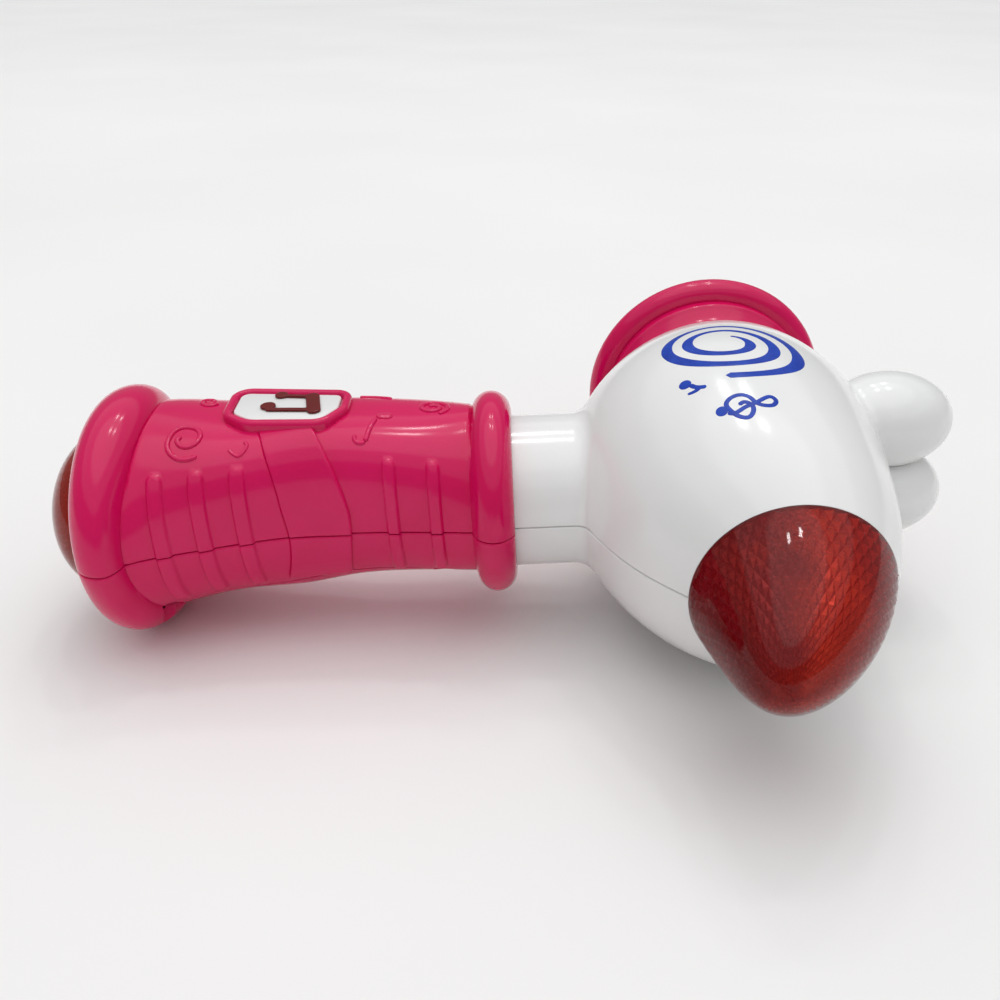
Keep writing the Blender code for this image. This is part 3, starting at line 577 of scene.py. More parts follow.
# (share of the way, colour); the stops paint light and shade across a lens
# Head lens: painted shade at both sides and a painted orange highlight band across the middle.
HEAD_LENS_LIGHT_AND_SHADE = ((0.0, (0.09, 0.0005, 0.0005)), (0.25, (0.30, 0.002, 0.001)), (0.48, (0.82, 0.045, 0.006)),
             (0.7, (0.50, 0.010, 0.003)), (1.0, (0.26, 0.004, 0.003)))
# Butt lens: a painted lighter top that darkens into painted shade at the bottom.
BUTT_LENS_LIGHT_AND_SHADE = ((0.0, (0.42, 0.02, 0.008)), (0.5, (0.30, 0.006, 0.003)), (1.0, (0.12, 0.002, 0.001)))

LOOKS = {
    "pink": finish_of("glossy_pink_plastic", (0.62, 0.003, 0.088), (0.70, 0.005, 0.112), (0.12, 0.17),
                      shine=0.33),
    "white": finish_of("glossy_white_plastic", (0.80, 0.81, 0.80), (0.86, 0.86, 0.85), (0.14, 0.19), 0.2),
    "note": finish_of("dark_red_plastic", (0.12, 0.002, 0.002), (0.17, 0.003, 0.003), (0.08, 0.13),
                      shine=0.35),
    "print": finish_of("blue_print", (0.004, 0.035, 0.36), (0.008, 0.06, 0.46), (0.2, 0.28), 0.0, 300.0,
                       shine=0.2),
    "lens": clear_red("clear_red_lens", (0.16, 0.0005, 0.0005), (0.22, 0.001, 0.001), 0.55),
    "butt_lens": clear_red("clear_butt_lens", (0.26, 0.010, 0.003), (0.32, 0.014, 0.004), 0.8),
    # Head lens facets, with a painted highlight band and painted shaded sides in their red.
    "facets": facet_red_with_painted_light("cut_red_lens_painted_light", (-22.0, -64.0, 10.0), (26.0, -60.0, -4.0), HEAD_LENS_LIGHT_AND_SHADE),
    # Butt lens facets, with painted light on top and painted shade below in their red.
    "butt_facets": facet_red_with_painted_light("cut_butt_lens_painted_light", (-180.0, 0.0, 26.0), (-180.0, -10.0, -24.0), BUTT_LENS_LIGHT_AND_SHADE),
    "steel": finish_of("zinc_plated_steel", (0.48, 0.48, 0.50), (0.66, 0.66, 0.68), (0.22, 0.42), 0.0, 400.0,
                       3000.0, 0.1, 1.0),
    "board": finish_of("green_circuit_board", (0.015, 0.13, 0.05), (0.03, 0.22, 0.08), (0.3, 0.45), 0.3,
                       500.0),
    "dark": finish_of("black_parts", (0.015, 0.015, 0.018), (0.035, 0.035, 0.04), (0.35, 0.55), 0.0, 300.0),
    "cone": finish_of("black_paper_cone", (0.02, 0.02, 0.022), (0.05, 0.048, 0.045), (0.7, 0.9), 0.0, 900.0,
                      1500.0, 0.4),
    "jacket": finish_of("battery_jacket", (0.03, 0.035, 0.05), (0.06, 0.07, 0.10), (0.2, 0.3), 0.3, 200.0),
    "epoxy": finish_of("lamp_epoxy", (0.70, 0.70, 0.64), (0.86, 0.86, 0.80), (0.05, 0.1), 0.5, 600.0),
    "wire_black": finish_of("black_wire", (0.02, 0.02, 0.02), (0.04, 0.04, 0.04), (0.4, 0.55), 0.0, 800.0),
    "wire_red": finish_of("red_wire", (0.42, 0.015, 0.012), (0.58, 0.03, 0.02), (0.4, 0.55), 0.0, 800.0),
}

INNER_NODES = {
    "board": ("butt_led_board", "head_led_board", "main_circuit_board"),
    "cone": ("speaker_cone",),
    "dark": ("capacitor", "sound_chip", "speaker_magnet", "tact_plunger", "tact_switch"),
    "epoxy": ("butt_led", "head_led_1", "head_led_2", "head_led_3"),
    "jacket": ("battery_1", "battery_2"),
    "pink": ("battery_cradle",),
    "steel": ("contact_bridge", "contact_minus", "contact_plus", "contact_spring_1", "contact_spring_2",
              "speaker_frame", "strike_sensor"),
    "white": ("head_reflector",),
    "wire_black": ("battery_wire_minus", "butt_light_wire", "head_light_wire", "speaker_wire"),
    "wire_red": ("battery_wire_plus",),
}


def dress_inner_nodes():
    """Give the nodes inside, which no piece replaces, their looks."""
    for look, names in INNER_NODES.items():
        for name in names:
            data = frame["nodes"][name].data
            data.materials.clear()
            data.materials.append(LOOKS[look])


# ---- grip surface

WIDTH_AT, CROWN_AT, KEEL_AT, POWER_AT, LEFT_AT, RIGHT_AT = (
    curve(table) for table in (GRIP_WIDTH, GRIP_CROWN, GRIP_KEEL, GRIP_POWER, RIBBON_LEFT, RIBBON_RIGHT))
EDGE_START = BUTT_EDGE[0] + BUTT_EDGE[1]  # x of the grip's crisp end on the crown


def bead_rise(x, middle, half):
    """How far a bead of unit height stands out at x, or a deep hollow beside it."""
    t = (x - middle) / half
    return np.where(np.abs(t) < 1, np.sqrt(np.maximum(1 - t * t, 0)), -9.0)


def plain_axes(x):
    """Half width, crown and keel of the grip at x, between its two end beads."""
    neck = NECK_RING_RADIUS + NECK_RING_BEAD[1] * bead_rise(x, NECK_RING_X, NECK_RING_BEAD[0])
    return tuple(larger(at(x), neck, 1.0) for at in (WIDTH_AT, CROWN_AT, KEEL_AT))


def butt_edge(turn):
    """x of the crisp end of the grip, at an angle from the parting plane."""
    return BUTT_EDGE[0] + BUTT_EDGE[1] * np.sin(turn) ** 2


def bead_stations():
    """(position round the bead, half width, height) of rings round the butt's mouth and over its bead."""
    rows = [(None, *BUTT_MOUTH)]
    for angle in np.radians(np.linspace(*BUTT_BEAD_ARC)):
        out = BUTT_BEAD * math.cos(angle)
        rows.append((math.sin(angle), BUTT_AXES[0] + out, BUTT_AXES[1] + out))
    return rows


def bead_ring(row, turn):
    """x of one ring of the butt bead, whose inner side reaches to the grip's end."""
    if row[0] is None:
        return np.full_like(turn, BUTT_CAVITY_X)
    if row[0] < 0:
        return np.full_like(turn, BUTT_X + BUTT_BEAD * row[0])
    return BUTT_X + (butt_edge(turn) - BUTT_X) * row[0] / math.sin(math.radians(BUTT_BEAD_ARC[1]))


def neck_stations():
    """(x, half width, height) of rings over the neck's bead and into its mouth."""
    rows = []
    for angle in np.radians(np.linspace(*NECK_RING_ARC)):
        out = NECK_RING_RADIUS + NECK_RING_BEAD[1] * math.cos(angle)
        rows.append((NECK_RING_X + NECK_RING_BEAD[0] * math.sin(angle), out, out))
    mouth = NECK_RADIUS + FIT
    return [*rows, *((x, mouth, mouth) for x in NECK_MOUTH_X)]


def middle_stations():
    """Places along the grip, dense where relief begins and ends."""
    left, right = RIBBON_NOMINAL
    fixed = [*DOOR_X, DOOR_X[0] + FIT, DOOR_X[1] - FIT]
    for x, width in BARS:
        for off in (-0.35, -0.1, 0.15, 0.4, 0.7):
            fixed += [x - width / 2 + off, x + width / 2 - off]
    fixed += [left + d for d in (-0.5, -0.3, -0.15, 0.0, 0.15, 0.3, 0.5)]
    fixed += [right + d for d in (-1.0, -0.75, -0.5, -0.25, -0.1, 0.0, 0.3, 1.0)]
    fixed += [EDGE_START + d for d in (0.03, 0.1, 0.25, 0.5)]
    plain = [*np.linspace(EDGE_START + 0.8, BUTT_EDGE_END, 8),
             *np.arange(BUTT_EDGE_END + 0.2, GRIP_END + 0.2, GRIP_STEP)]
    kept = [x for x in plain if min(abs(x - f) for f in fixed) > 0.3]
    return sorted({round(float(x), 3) for x in [*kept, *fixed]})


def ribbon_warp(u, angle):
    """Where the line with nominal place u runs at an angle, so that lines follow both ribbon edges."""
    left, right = RIBBON_NOMINAL
    a, b = LEFT_AT(angle), RIGHT_AT(angle)
    shift_left, shift_right = a - left, b - right
    x = np.full_like(angle, u)
    if u < BUTT_EDGE_END:
        edge = butt_edge(np.radians(angle))
        x = edge + (BUTT_EDGE_END - edge) * (u - EDGE_START) / (BUTT_EDGE_END - EDGE_START)
    if RIBBON_SPAN[0] < u < left - 0.5:
        x += shift_left * (u - RIBBON_SPAN[0]) / (left - 0.5 - RIBBON_SPAN[0])
    elif left - 0.5 <= u <= left + 0.5:
        x += shift_left
    elif left + 0.5 < u < right - 1:
        t = (u - left - 0.5) / (right - 1 - left - 0.5)
        x += shift_left * (1 - t) + shift_right * t
    elif right - 1 <= u <= right + 1:
        x += shift_right
    elif right + 1 < u < RIBBON_SPAN[1]:
        x += shift_right * (RIBBON_SPAN[1] - u) / (RIBBON_SPAN[1] - right - 1)
    return x


def ribbon_height(u, angle):
    """Relief of the band that winds round the grip: a groove at its left edge, a step at its right."""
    left, right = RIBBON_NOMINAL
    t = (u - left) / (right - left)
    height = -0.3 * math.exp(-((u - left) / 0.2) ** 2)
    if 0 < t <= 1:
        height += (RIBBON_RISE[0] + (RIBBON_RISE[1] - RIBBON_RISE[0]) * t) * ease(np.array((u - left) / 0.3))
        over = max(0.0, (u - right + 0.8) / 0.8)
        height *= math.sqrt(max(0.0, 1 - over * over))
    return height * ease((angle - 104) / 6) * ease((BAR_FOOT + 1 - angle) / 3)


def bar_height(x, angle):
    """Relief of the raised bars, which have round upper ends."""
    height = np.zeros_like(x)
    for middle, width in BARS:
        half = width / 2
        above = np.maximum(0, math.radians(1) * (BAR_TOP + 0.9 * half / math.radians(GRIP_GIRTH) - angle))
        beyond = above * GRIP_GIRTH
        reach = half - np.sqrt((x - middle) ** 2 + beyond ** 2)
        height = np.maximum(height, BAR_HEIGHT * ease((reach + 0.1) / 0.7) * ease((BAR_FOOT - angle) / 3))
    return height


def edge_dip(u):
    """How far the grip's end corner is rounded in, at the nominal place u."""
    return -0.35 * math.exp(-((u - EDGE_START) / 0.18))


def row_angles(wide, tall, lower):
    """Angles of a ring from front to back, in radians; the lower rings have rows along the door's sides."""
    rim = [math.asin(min(1.0, z / tall)) for z, _ in RIM_ROWS]
    if not lower:
        inner = np.linspace(rim[-1], math.pi - rim[-1], 125)[1:-1]
        return np.array([*rim, *inner, *(math.pi - r for r in reversed(rim))])
    door = math.acos(min(0.98, DOOR_Y / wide))
    flank = np.linspace(rim[-1], door, 44)[1:]
    floor = np.linspace(door, math.pi - door, 40)[1:-1]
    half = [*rim, *flank]
    return np.array([*half, *floor, *(math.pi - a for a in reversed(half))])


def section_normal(y, z, wide, tall, power):
    """Unit normals of a superellipse section at (y, z)."""
    out = np.column_stack((np.zeros_like(y), np.sign(y) * np.abs(y / wide) ** (power - 1) / wide,
                           np.sign(z) * np.abs(z / tall) ** (power - 1) / tall))
    return unit(out)


def grip_skin(side):
    """The outer skin of one handle shell as (vertices, faces)."""
    lower = side < 0
    rings = []
    stations = [("bead", row) for row in bead_stations()]
    stations += [("middle", u) for u in middle_stations()]
    stations += [("neck", row) for row in neck_stations()]
    for part, at in stations:
        if part == "middle":
            wide, crown, keel = (float(v) for v in plain_axes(np.array(at)))
            turn = row_angles(wide, keel if lower else crown, lower)
            front = np.minimum(turn, math.pi - turn)
            angle = 180 - side * np.degrees(front)
            x = ribbon_warp(at, angle)
            wide, crown, keel = plain_axes(x)
            tall = keel if lower else crown
        else:
            first, wide, tall = at
            turn = row_angles(wide, tall, lower)
            x = bead_ring(at, turn) if part == "bead" else np.full_like(turn, first)
        rise = np.zeros_like(turn)
        if part == "middle":
            rise = ribbon_height(at, angle) + bar_height(x, angle) + edge_dip(at)
        for k, (_, dip) in enumerate(RIM_ROWS):
            rise[k] -= dip
            rise[-1 - k] -= dip
        power = POWER_AT(x) if part == "middle" and not lower else 2.0
        along, up = np.cos(turn), np.sin(turn)
        reach = (np.abs(along) ** power + up ** power) ** (-1 / power)
        y, z = -wide * along * reach, side * tall * up * reach
        out = section_normal(y, z, wide, tall, power)
        ring = np.column_stack((x, y, z)) + out * rise[:, None]
        for k, (height, _) in enumerate(RIM_ROWS):
            ring[k, 2] = ring[-1 - k, 2] = side * height
        rings.append(ring)
    return outward(*loft(rings, ends=False, ring_closed=False))


def outward(verts, faces):
    """The skin, with its faces turned so that their normals point away from the grip's axis."""
    crossed, corners = face_normals(verts, faces)
    middle = verts[corners[:, 0]]
    away = (crossed[:, 1] * middle[:, 1] + crossed[:, 2] * middle[:, 2]).sum()
    return verts, faces if away > 0 else [face[::-1] for face in faces]


def on_grip(x, y, side=1):
    """A point of the grip's outer surface over or under (x, y), and the normal there."""
    wide, crown, keel = (float(v) for v in plain_axes(np.array(float(x))))
    tall, power = (crown, float(POWER_AT(np.array(float(x))))) if side > 0 else (keel, 2.0)
    z = side * tall * max(0.0, 1 - abs(y / wide) ** power) ** (1 / power)
    return np.array((x, y, z)), section_normal(np.array([y]), np.array([z]), wide, tall, power)[0]


def trimmed(verts, faces):
    """The skin without the points that no face uses."""
    used = sorted({i for face in faces for i in face})
    renumbered = {old: new for new, old in enumerate(used)}
    return verts[used], [[renumbered[i] for i in face] for face in faces]


def ridge(path, normals, half, height):
    """A rounded moulded line along a path on a surface, with rounded ends and its foot in the surface."""
    sunk = 0.25
    path, normals = np.asarray(path, float), np.asarray(normals, float)
    along = lengths(path)
    ends = np.minimum(along, along[-1] - along)
    size = np.sqrt(1 - (1 - np.clip(ends / half, 0.0, 1.0)) ** 2)
    size = np.maximum(size, 0.12)
    across = unit(np.cross(normals, np.gradient(path, axis=0)))
    turns = np.linspace(0, math.pi, 9)
    rings = []
    for p, n, b, s in zip(path, normals, across, size):
        ring = [p - n * sunk + b * half * s]
        ring += [p + b * half * s * math.cos(t) + n * height * s * math.sin(t) for t in turns]
        ring += [p - n * sunk - b * half * s]
        rings.append(ring)
    return loft(rings)


def grip_line(points, half=0.72, height=0.6, count=60):
    """A moulded line on the grip through (x, y) points."""
    spots = [on_grip(x, y) for x, y in through(points, count)]
    return ridge([s[0] for s in spots], [s[1] for s in spots], half, height)


def spiral(centre, size, squash, start, turns):
    """(x, y) points of a spiral that opens outwards from its centre."""
    points = []
    count = 14
    for k in range(count + 1):
        t = k / count
        angle = math.radians(start) + 2 * math.pi * turns * t
        reach = size * (0.22 + 0.78 * t)
        points.append((centre[0] + reach * math.cos(angle), centre[1] + squash * reach * math.sin(angle)))
    return points


SIDE_SWIRL = ((-142.3, -17.2), (-145.4, -18.2), (-148.6, -17.4), (-150.2, -15.2), (-150.2, -11.8),
              (-149.2, -9.0), (-147.3, -7.6), (-144.6, -7.9), (-142.8, -10.0), (-142.9, -13.0),
              (-144.8, -14.8), (-147.0, -14.6), (-148.1, -12.7), (-147.2, -11.6))
HOOK = ((-134.6, -15.2), (-133.6, -16.1), (-131.9, -16.7), (-130.6, -15.7), (-130.0, -13.9), (-130.8, -13.0))
NOTE_STEM = ((-97.2, -5.1), (-98.3, -9.3), (-99.3, -13.5))
NOTE_FLAG = ((-99.3, -13.5), (-100.6, -13.9), (-101.9, -13.4), (-102.2, -11.7))
NOTE_HEAD = ((-97.2, -4.2), (-95.1, -3.7), (-92.9, -4.1))


def grip_marks():
    """Raised swirls and notes on the crown of the grip."""
    return [
        grip_line(SIDE_SWIRL, count=90),
        grip_line(spiral((-145.0, 9.2), 2.6, 1.3, 200, 1.4), count=60),
        grip_line(spiral((-82.6, 2.1), 4.5, 0.95, 150, -1.6), count=90),
        grip_line(HOOK, 0.5, 0.4),
        grip_line(NOTE_STEM),
        grip_line(NOTE_FLAG, 0.6, 0.5, 30),
        grip_line(NOTE_HEAD, 1.5, 0.6, 40),
        grip_line(((-103.4, 10.4), (-99.5, 10.9), (-94.3, 9.0)), 0.6, 0.5),
    ]


def frame_ring():
    """The raised frame round the button, with a rounded top."""
    crown = ((0.0, -1.5), (0.12, -0.85), (0.45, -0.33), (0.9, -0.07), (1.35, 0.0), (1.8, -0.08), (2.2, -0.33),
             (2.48, -0.75), (FRAME_WIDTH, -1.35))
    section = [(0.0, 17.5), *((d, FRAME_TOP + drop) for d, drop in crown), (FRAME_WIDTH, PLATE_UNDER),
               (1.0, PLATE_UNDER), (1.0, 17.5)]
    return loft([level(rounded(inset(FRAME_CORNERS, d)), z) for d, z in section], closed=True)


def well_wall(at, seat, surface, radii=WELL):
    """The round wall and floor of a screw's well; surface gives the skin's z at (x, y)."""
    radius, outer = radii
    angles = np.linspace(0, 2 * math.pi, 40, endpoint=False)
    spots = [(at[0] + outer * math.cos(a), at[1] + outer * math.sin(a)) for a in angles]
    top = seat + WELL_FLOOR
    rings = []
    bore = SCREW_SHANK + FIT
    for size, lift in ((outer, "skin"), (outer, top), (bore, top), (bore, seat), (radius, seat),
                       (radius, "skin")):
        ring = []
        for a, spot in zip(angles, spots):
            z = surface(*spot) + 1.2 if lift == "skin" else lift
            ring.append((at[0] + size * math.cos(a), at[1] + size * math.sin(a), z))
        rings.append(ring)
    return loft(rings, closed=True)


def well_cutter(at, radius=WELL[0], high=-10.0):
    """What opens a well in a shell, from below it up to a height."""
    return turned(((-60.0, radius), (high, radius)), 40, "Z", at)


def handle_upper():
    verts, faces = grip_skin(1)
    hidden = within(rounded(inset(FRAME_CORNERS, 1.0)), verts) & (verts[:, 2] > 15)
    faces = [face for face in faces if not hidden[face].any()]
    shell = thickened(*trimmed(verts, faces))
    piece("handle_upper_detail", merged(shell, frame_ring(), *grip_marks()), "pink",
          ("handle_upper_shell",), sharp=50)


def under_grip(x, y):
    return on_grip(x, y, -1)[0][2]


def handle_lower():
    verts, faces = grip_skin(-1)
    middle = np.array([verts[face].mean(axis=0) for face in faces])
    door = ((middle[:, 0] > DOOR_X[0]) & (middle[:, 0] < DOOR_X[1]) & (np.abs(middle[:, 1]) < DOOR_Y - 0.02)
            & (middle[:, 2] < -5))
    faces = [face for face, cut in zip(faces, door) if not cut]
    shell = thickened(*trimmed(verts, faces))
    shell = carved(shell, *[well_cutter(at) for at in HANDLE_SCREWS])
    walls = [well_wall(at, SCREW_SEAT, under_grip) for at in HANDLE_SCREWS]
    piece("handle_lower_detail", merged(shell, *walls), "pink", ("handle_lower_shell",),
          sharp=50)


def battery_door():
    rings = []
    low, high = DOOR_X[0] + FIT, DOOR_X[1] - FIT
    for x in np.linspace(low, high, 80):
        wide, _, keel = (float(v) for v in plain_axes(np.array(x)))
        edge = math.acos((DOOR_Y - FIT) / wide)
        turn = np.linspace(edge, math.pi - edge, 44)
        rings.append(np.column_stack((np.full_like(turn, x), -wide * np.cos(turn), -keel * np.sin(turn))))
    skin = outward(*loft(rings, ends=False, ring_closed=False))
    shell = carved(thickened(*skin), well_cutter(DOOR_SCREW, DOOR_WELL[0], -15.0))
    wall = well_wall(DOOR_SCREW, DOOR_SEAT, under_grip, DOOR_WELL)
    piece("battery_door_detail", merged(shell, wall), "pink", ("battery_door",),
          "battery_door", sharp=50)


# ---- button


def button_cap():
    def outline(by):
        return rounded(inset(FRAME_CORNERS, by))

    shoulder = PLATE_UNDER - FIT
    face = FRAME_WIDTH + 0.35
    levels = ((FRAME_WIDTH - 1.2, shoulder - 1.4), (FRAME_WIDTH - 1.2, shoulder), (face, shoulder),
              (face, BUTTON_TOP - 0.45), (face + 0.1, BUTTON_TOP - 0.2), (face + 0.3, BUTTON_TOP - 0.06),
              (face + 0.6, BUTTON_TOP))
    cap = loft([level(outline(by), z) for by, z in levels])
    stem = turned(((23.3, 3.0), (shoulder - 1.0, 3.0)), 32, "Z", BUTTON_CENTRE)
    piece("button_cap_detail", merged(cap, stem), "white", ("button_cap",), "button",
          sharp=40)


NOTE_HEADS = ((-126.7, 0.6, 2.1), (-124.3, 7.5, 1.8))
NOTE_BEAM = ((-115.4, 5.6), (-113.7, -3.2), 1.9)  # far end, near end, half width
NOTE_STEMS = (((-126.2, -1.7), (-114.0, -3.0), 0.75), ((-123.6, 7.0), (-115.0, 5.5), 0.65))
NOTE_LEVELS = (BUTTON_TOP + 0.05, BUTTON_TOP + 0.75)
NOTE_BOX = ((-129.4, -5.8, 28.1), (-111.0, 9.9, 29.5))
NOTE_GRID = 0.17


def beyond_bar(x, y, start, end):
    """Distance in plan from the line between two points."""
    (ax, ay), (bx, by) = start, end
    t = np.clip(((x - ax) * (bx - ax) + (y - ay) * (by - ay)) / ((bx - ax) ** 2 + (by - ay) ** 2), 0, 1)
    return np.hypot(x - ax - t * (bx - ax), y - ay - t * (by - ay))


def note_field(points):
    """Joined quavers with soft corners, negative inside."""
    x, y, z = points.T
    low, high = NOTE_LEVELS
    flat = np.full_like(x, 99.0)
    for cx, cy, radius in NOTE_HEADS:
        flat = smaller(flat, np.hypot(x - cx, y - cy) - radius, 0.5)
    for start, end, radius in (NOTE_BEAM, *NOTE_STEMS):
        flat = smaller(flat, beyond_bar(x, y, start, end) - radius, 0.6)
    upright = np.abs(z - (low + high) / 2) - (high - low) / 2
    return larger(flat, upright, 0.3)


def button_note():
    form = blended(note_field, *NOTE_BOX, NOTE_GRID)
    piece("button_note_detail", form, "note", ("button_note",), "button")


# ---- head

HEAD_RADIUS_AT = curve(HEAD_RADII)


def head_centre(y):
    """x of the turned body's bowed centre line."""
    end = np.where(y < 0, HEAD_FRONT, HEAD_BACK)
    end_x = np.where(y < 0, HEAD_FRONT_X, HEAD_BACK_X)
    return HEAD_CENTRE_X + (end_x - HEAD_CENTRE_X) * np.minimum((y / end) ** 2, 1.4)


def head_radius(y):
    """Radius of the turned body, run on straight past its two ends."""
    run = HEAD_RADIUS_AT(np.clip(y, HEAD_FRONT, HEAD_BACK))
    front, back = HEAD_RUN_OUT
    return run + np.where(y < HEAD_FRONT, (y - HEAD_FRONT) * front, 0) + np.where(
        y > HEAD_BACK, (y - HEAD_BACK) * back, 0)


def head_field(points):
    """The turned body, the neck and the two lobes in one, negative inside."""
    x, y, z = points.T
    body = (np.hypot(x - head_centre(y), z) - head_radius(y)) * 0.85
    neck = np.maximum(np.hypot(y, z) - NECK_RADIUS, x)
    whole = smaller(body, neck, NECK_BLEND)
    lobes = None
    for side in (1, -1):
        off = (points - np.array((LOBE_CENTRE[0], LOBE_CENTRE[1], side * LOBE_CENTRE[2])))
        k0 = np.linalg.norm(off / LOBE_AXES, axis=1)
        k1 = np.maximum(np.linalg.norm(off / np.square(LOBE_AXES), axis=1), 1e-6)
        lobe = k0 * (k0 - 1) / k1
        lobes = lobe if lobes is None else np.minimum(lobes, lobe)
    return smaller(whole, lobes, LOBE_BLEND)


def head_top(x, y):
    """Height of the head's skin over (x, y)."""
    z = np.full_like(x, 38.0)
    for _ in range(12):
        here = np.column_stack((x, y, z))
        above = head_field(here + np.array((0, 0, 0.01))) - head_field(here - np.array((0, 0, 0.01)))
        z = z - head_field(here) / np.maximum(above / 0.02, 0.2)
    return z


def head_half():
    """The outer skin of the upper head shell, trimmed by its flat ends."""
    verts, faces = blended(head_field, *HEAD_BOX, HEAD_GRID)
    form = bmesh.new()
    made = [form.verts.new(v) for v in verts]
    for face in faces:
        form.faces.new([made[i] for i in face])
    cuts = [((0, 0, z), (0, 0, 1), z == SPLIT) for z, _ in reversed(RIM_ROWS)]
    cuts += [((0, HEAD_FRONT, 0), (0, 1, 0), True), ((0, HEAD_BACK, 0), (0, -1, 0), True),
             ((NECK_SHOULDER_X, 0, 0), (1, 0, 0), True)]
    for place, way, clear in cuts:
        bmesh.ops.bisect_plane(form, geom=[*form.verts, *form.edges, *form.faces], dist=1e-4, plane_co=place,
                               plane_no=way, clear_inner=clear)
    form.verts.index_update()
    verts = np.array([v.co for v in form.verts])
    faces = [[v.index for v in face.verts] for face in form.faces]
    form.free()
    normals = unit(slope(head_field, verts))
    for height, dip in RIM_ROWS:
        at_rim = np.abs(verts[:, 2] - height) < 1e-3
        verts[at_rim, :2] -= normals[at_rim, :2] * dip
    normals[verts[:, 2] < SPLIT + 0.01, 2] = 0
    return verts, faces, normals


def under_head(x, y):
    return -float(head_top(np.array([float(x)]), np.array([float(y)]))[0])


def head_shells():
    verts, faces, normals = head_half()
    shell = thickened(verts, faces, normals)
    piece("head_upper_detail", shell, "white", ("head_upper_shell",), sharp=50)
    flip = np.array((1, 1, -1))
    lower = (shell[0] * flip, [face[::-1] for face in shell[1]])
    lower = carved(lower, *[well_cutter(at) for at in HEAD_SCREWS])
    walls = [well_wall(at, SCREW_SEAT, under_head) for at in HEAD_SCREWS]
    piece("head_lower_detail", merged(lower, *walls), "white", ("head_lower_shell",),
          sharp=50)


# Print on the crown of the head, in plan
SPIRAL_CENTRE = (-6.126, -3.704)
SPIRAL_DRIFT = (0.33, -0.34)
SPIRAL_REACH = ((6.58, 5.626), (4.664, 4.387))  # (at the start, gain per turn) along and across
SPIRAL_LEAN = -0.256
SPIRAL_ANGLES = (-1.31, 14.101)
CLEF = ((-10.1, -31.1), (-9.1, -31.7), (-6.2, -30.6), (-3.3, -29.4), (-0.8, -27.9), (0.7, -27.5),
        (1.6, -28.6), (0.8, -30.2), (-0.6, -30.5), (-3.3, -29.2), (-4.1, -27.7), (-5.8, -26.4),
        (-8.6, -26.8), (-10.0, -28.5), (-9.3, -30.8), (-7.6, -33.0), (-5.7, -33.6), (-4.3, -32.0),
        (-4.4, -29.8), (-6.0, -28.8), (-7.2, -29.6))
QUAVER_STEM = ((-17.0, -18.7), (-16.3, -19.8), (-14.9, -20.7), (-13.4, -21.1))
QUAVER_FLAG = ((-14.9, -20.7), (-16.2, -21.5), (-18.0, -21.6))
CLEF_DOT = ((-11.3, -30.3), 1.45)
QUAVER_DOT = ((-18.1, -18.1), 1.5)
CLEF_STROKE = 1.15
QUAVER_STROKE = 1.25
QUAVER_FLAG_STROKE = (1.3, 0.8)
PRINT_LIFT = 0.06


def printed(path, widths):
    """A thin strip of print that follows the head's skin along (x, y) points."""
    path, widths = np.asarray(path, float), np.asarray(widths, float)
    along = lengths(path)
    ends = np.minimum(along, along[-1] - along) / np.maximum(widths / 2, 1e-6)
    widths = widths * np.maximum(np.sqrt(1 - (1 - np.clip(ends, 0, 1)) ** 2), 0.05)
    ahead = np.gradient(path, axis=0)
    across = unit(np.column_stack((-ahead[:, 1], ahead[:, 0])))
    section = ((-1.0, -0.3), (-1.0, 0.5), (-0.9, 1.0), (-0.45, 1.0), (0.0, 1.0), (0.45, 1.0), (0.9, 1.0),
               (1.0, 0.5), (1.0, -0.3), (0.3, -4.0), (-0.3, -4.0))
    columns = []
    for share, lift in section:
        xy = path + across * (widths / 2)[:, None] * share
        columns.append(np.column_stack((xy, head_top(xy[:, 0], xy[:, 1]) + PRINT_LIFT * lift)))
    return loft(list(np.stack(columns, axis=1)))


def spiral_print():
    """The spiral, broader where it runs towards the lens and on its near side."""
    first, last = SPIRAL_ANGLES
    turn = np.linspace(first, last, 260)
    tau = turn / (2 * math.pi)
    (x0, x1), (y0, y1) = SPIRAL_REACH
    u, v = (x0 + x1 * tau) * np.cos(-turn), (y0 + y1 * tau) * np.sin(-turn)
    c, s = math.cos(SPIRAL_LEAN), math.sin(SPIRAL_LEAN)
    path = np.column_stack((SPIRAL_CENTRE[0] + SPIRAL_DRIFT[0] * tau + c * u - s * v,
                            SPIRAL_CENTRE[1] + SPIRAL_DRIFT[1] * tau + s * u + c * v))
    ahead = np.gradient(path, axis=0)
    upright = np.abs(ahead[:, 1]) / np.linalg.norm(ahead, axis=1)
    near = ease((SPIRAL_CENTRE[1] - path[:, 1]) / 8)
    widths = 1.3 + 0.7 * near + 1.5 * upright ** 2
    begin = ease((turn - first) / 1.6)
    return printed(path, widths * (0.45 + 0.55 * begin))


def dot(centre, radius):
    """A round printed dot."""
    path = np.column_stack((np.linspace(centre[0] - radius, centre[0] + radius, 15), np.full(15, centre[1])))
    return printed(path, np.full(15, 2 * radius))


def print_pieces():
    marks = {"print_spiral": [spiral_print()],
             "print_clef": [printed(through(CLEF, 170), np.full(170, CLEF_STROKE)), dot(*CLEF_DOT)],
             "print_quaver": [printed(through(QUAVER_STEM, 30), np.full(30, QUAVER_STROKE)),
                              printed(through(QUAVER_FLAG, 30), np.linspace(*QUAVER_FLAG_STROKE, 30)),
                              dot(*QUAVER_DOT)]}
    for name, parts in marks.items():
        piece(name, merged(*parts), "print", sharp=60)


# ---- lenses


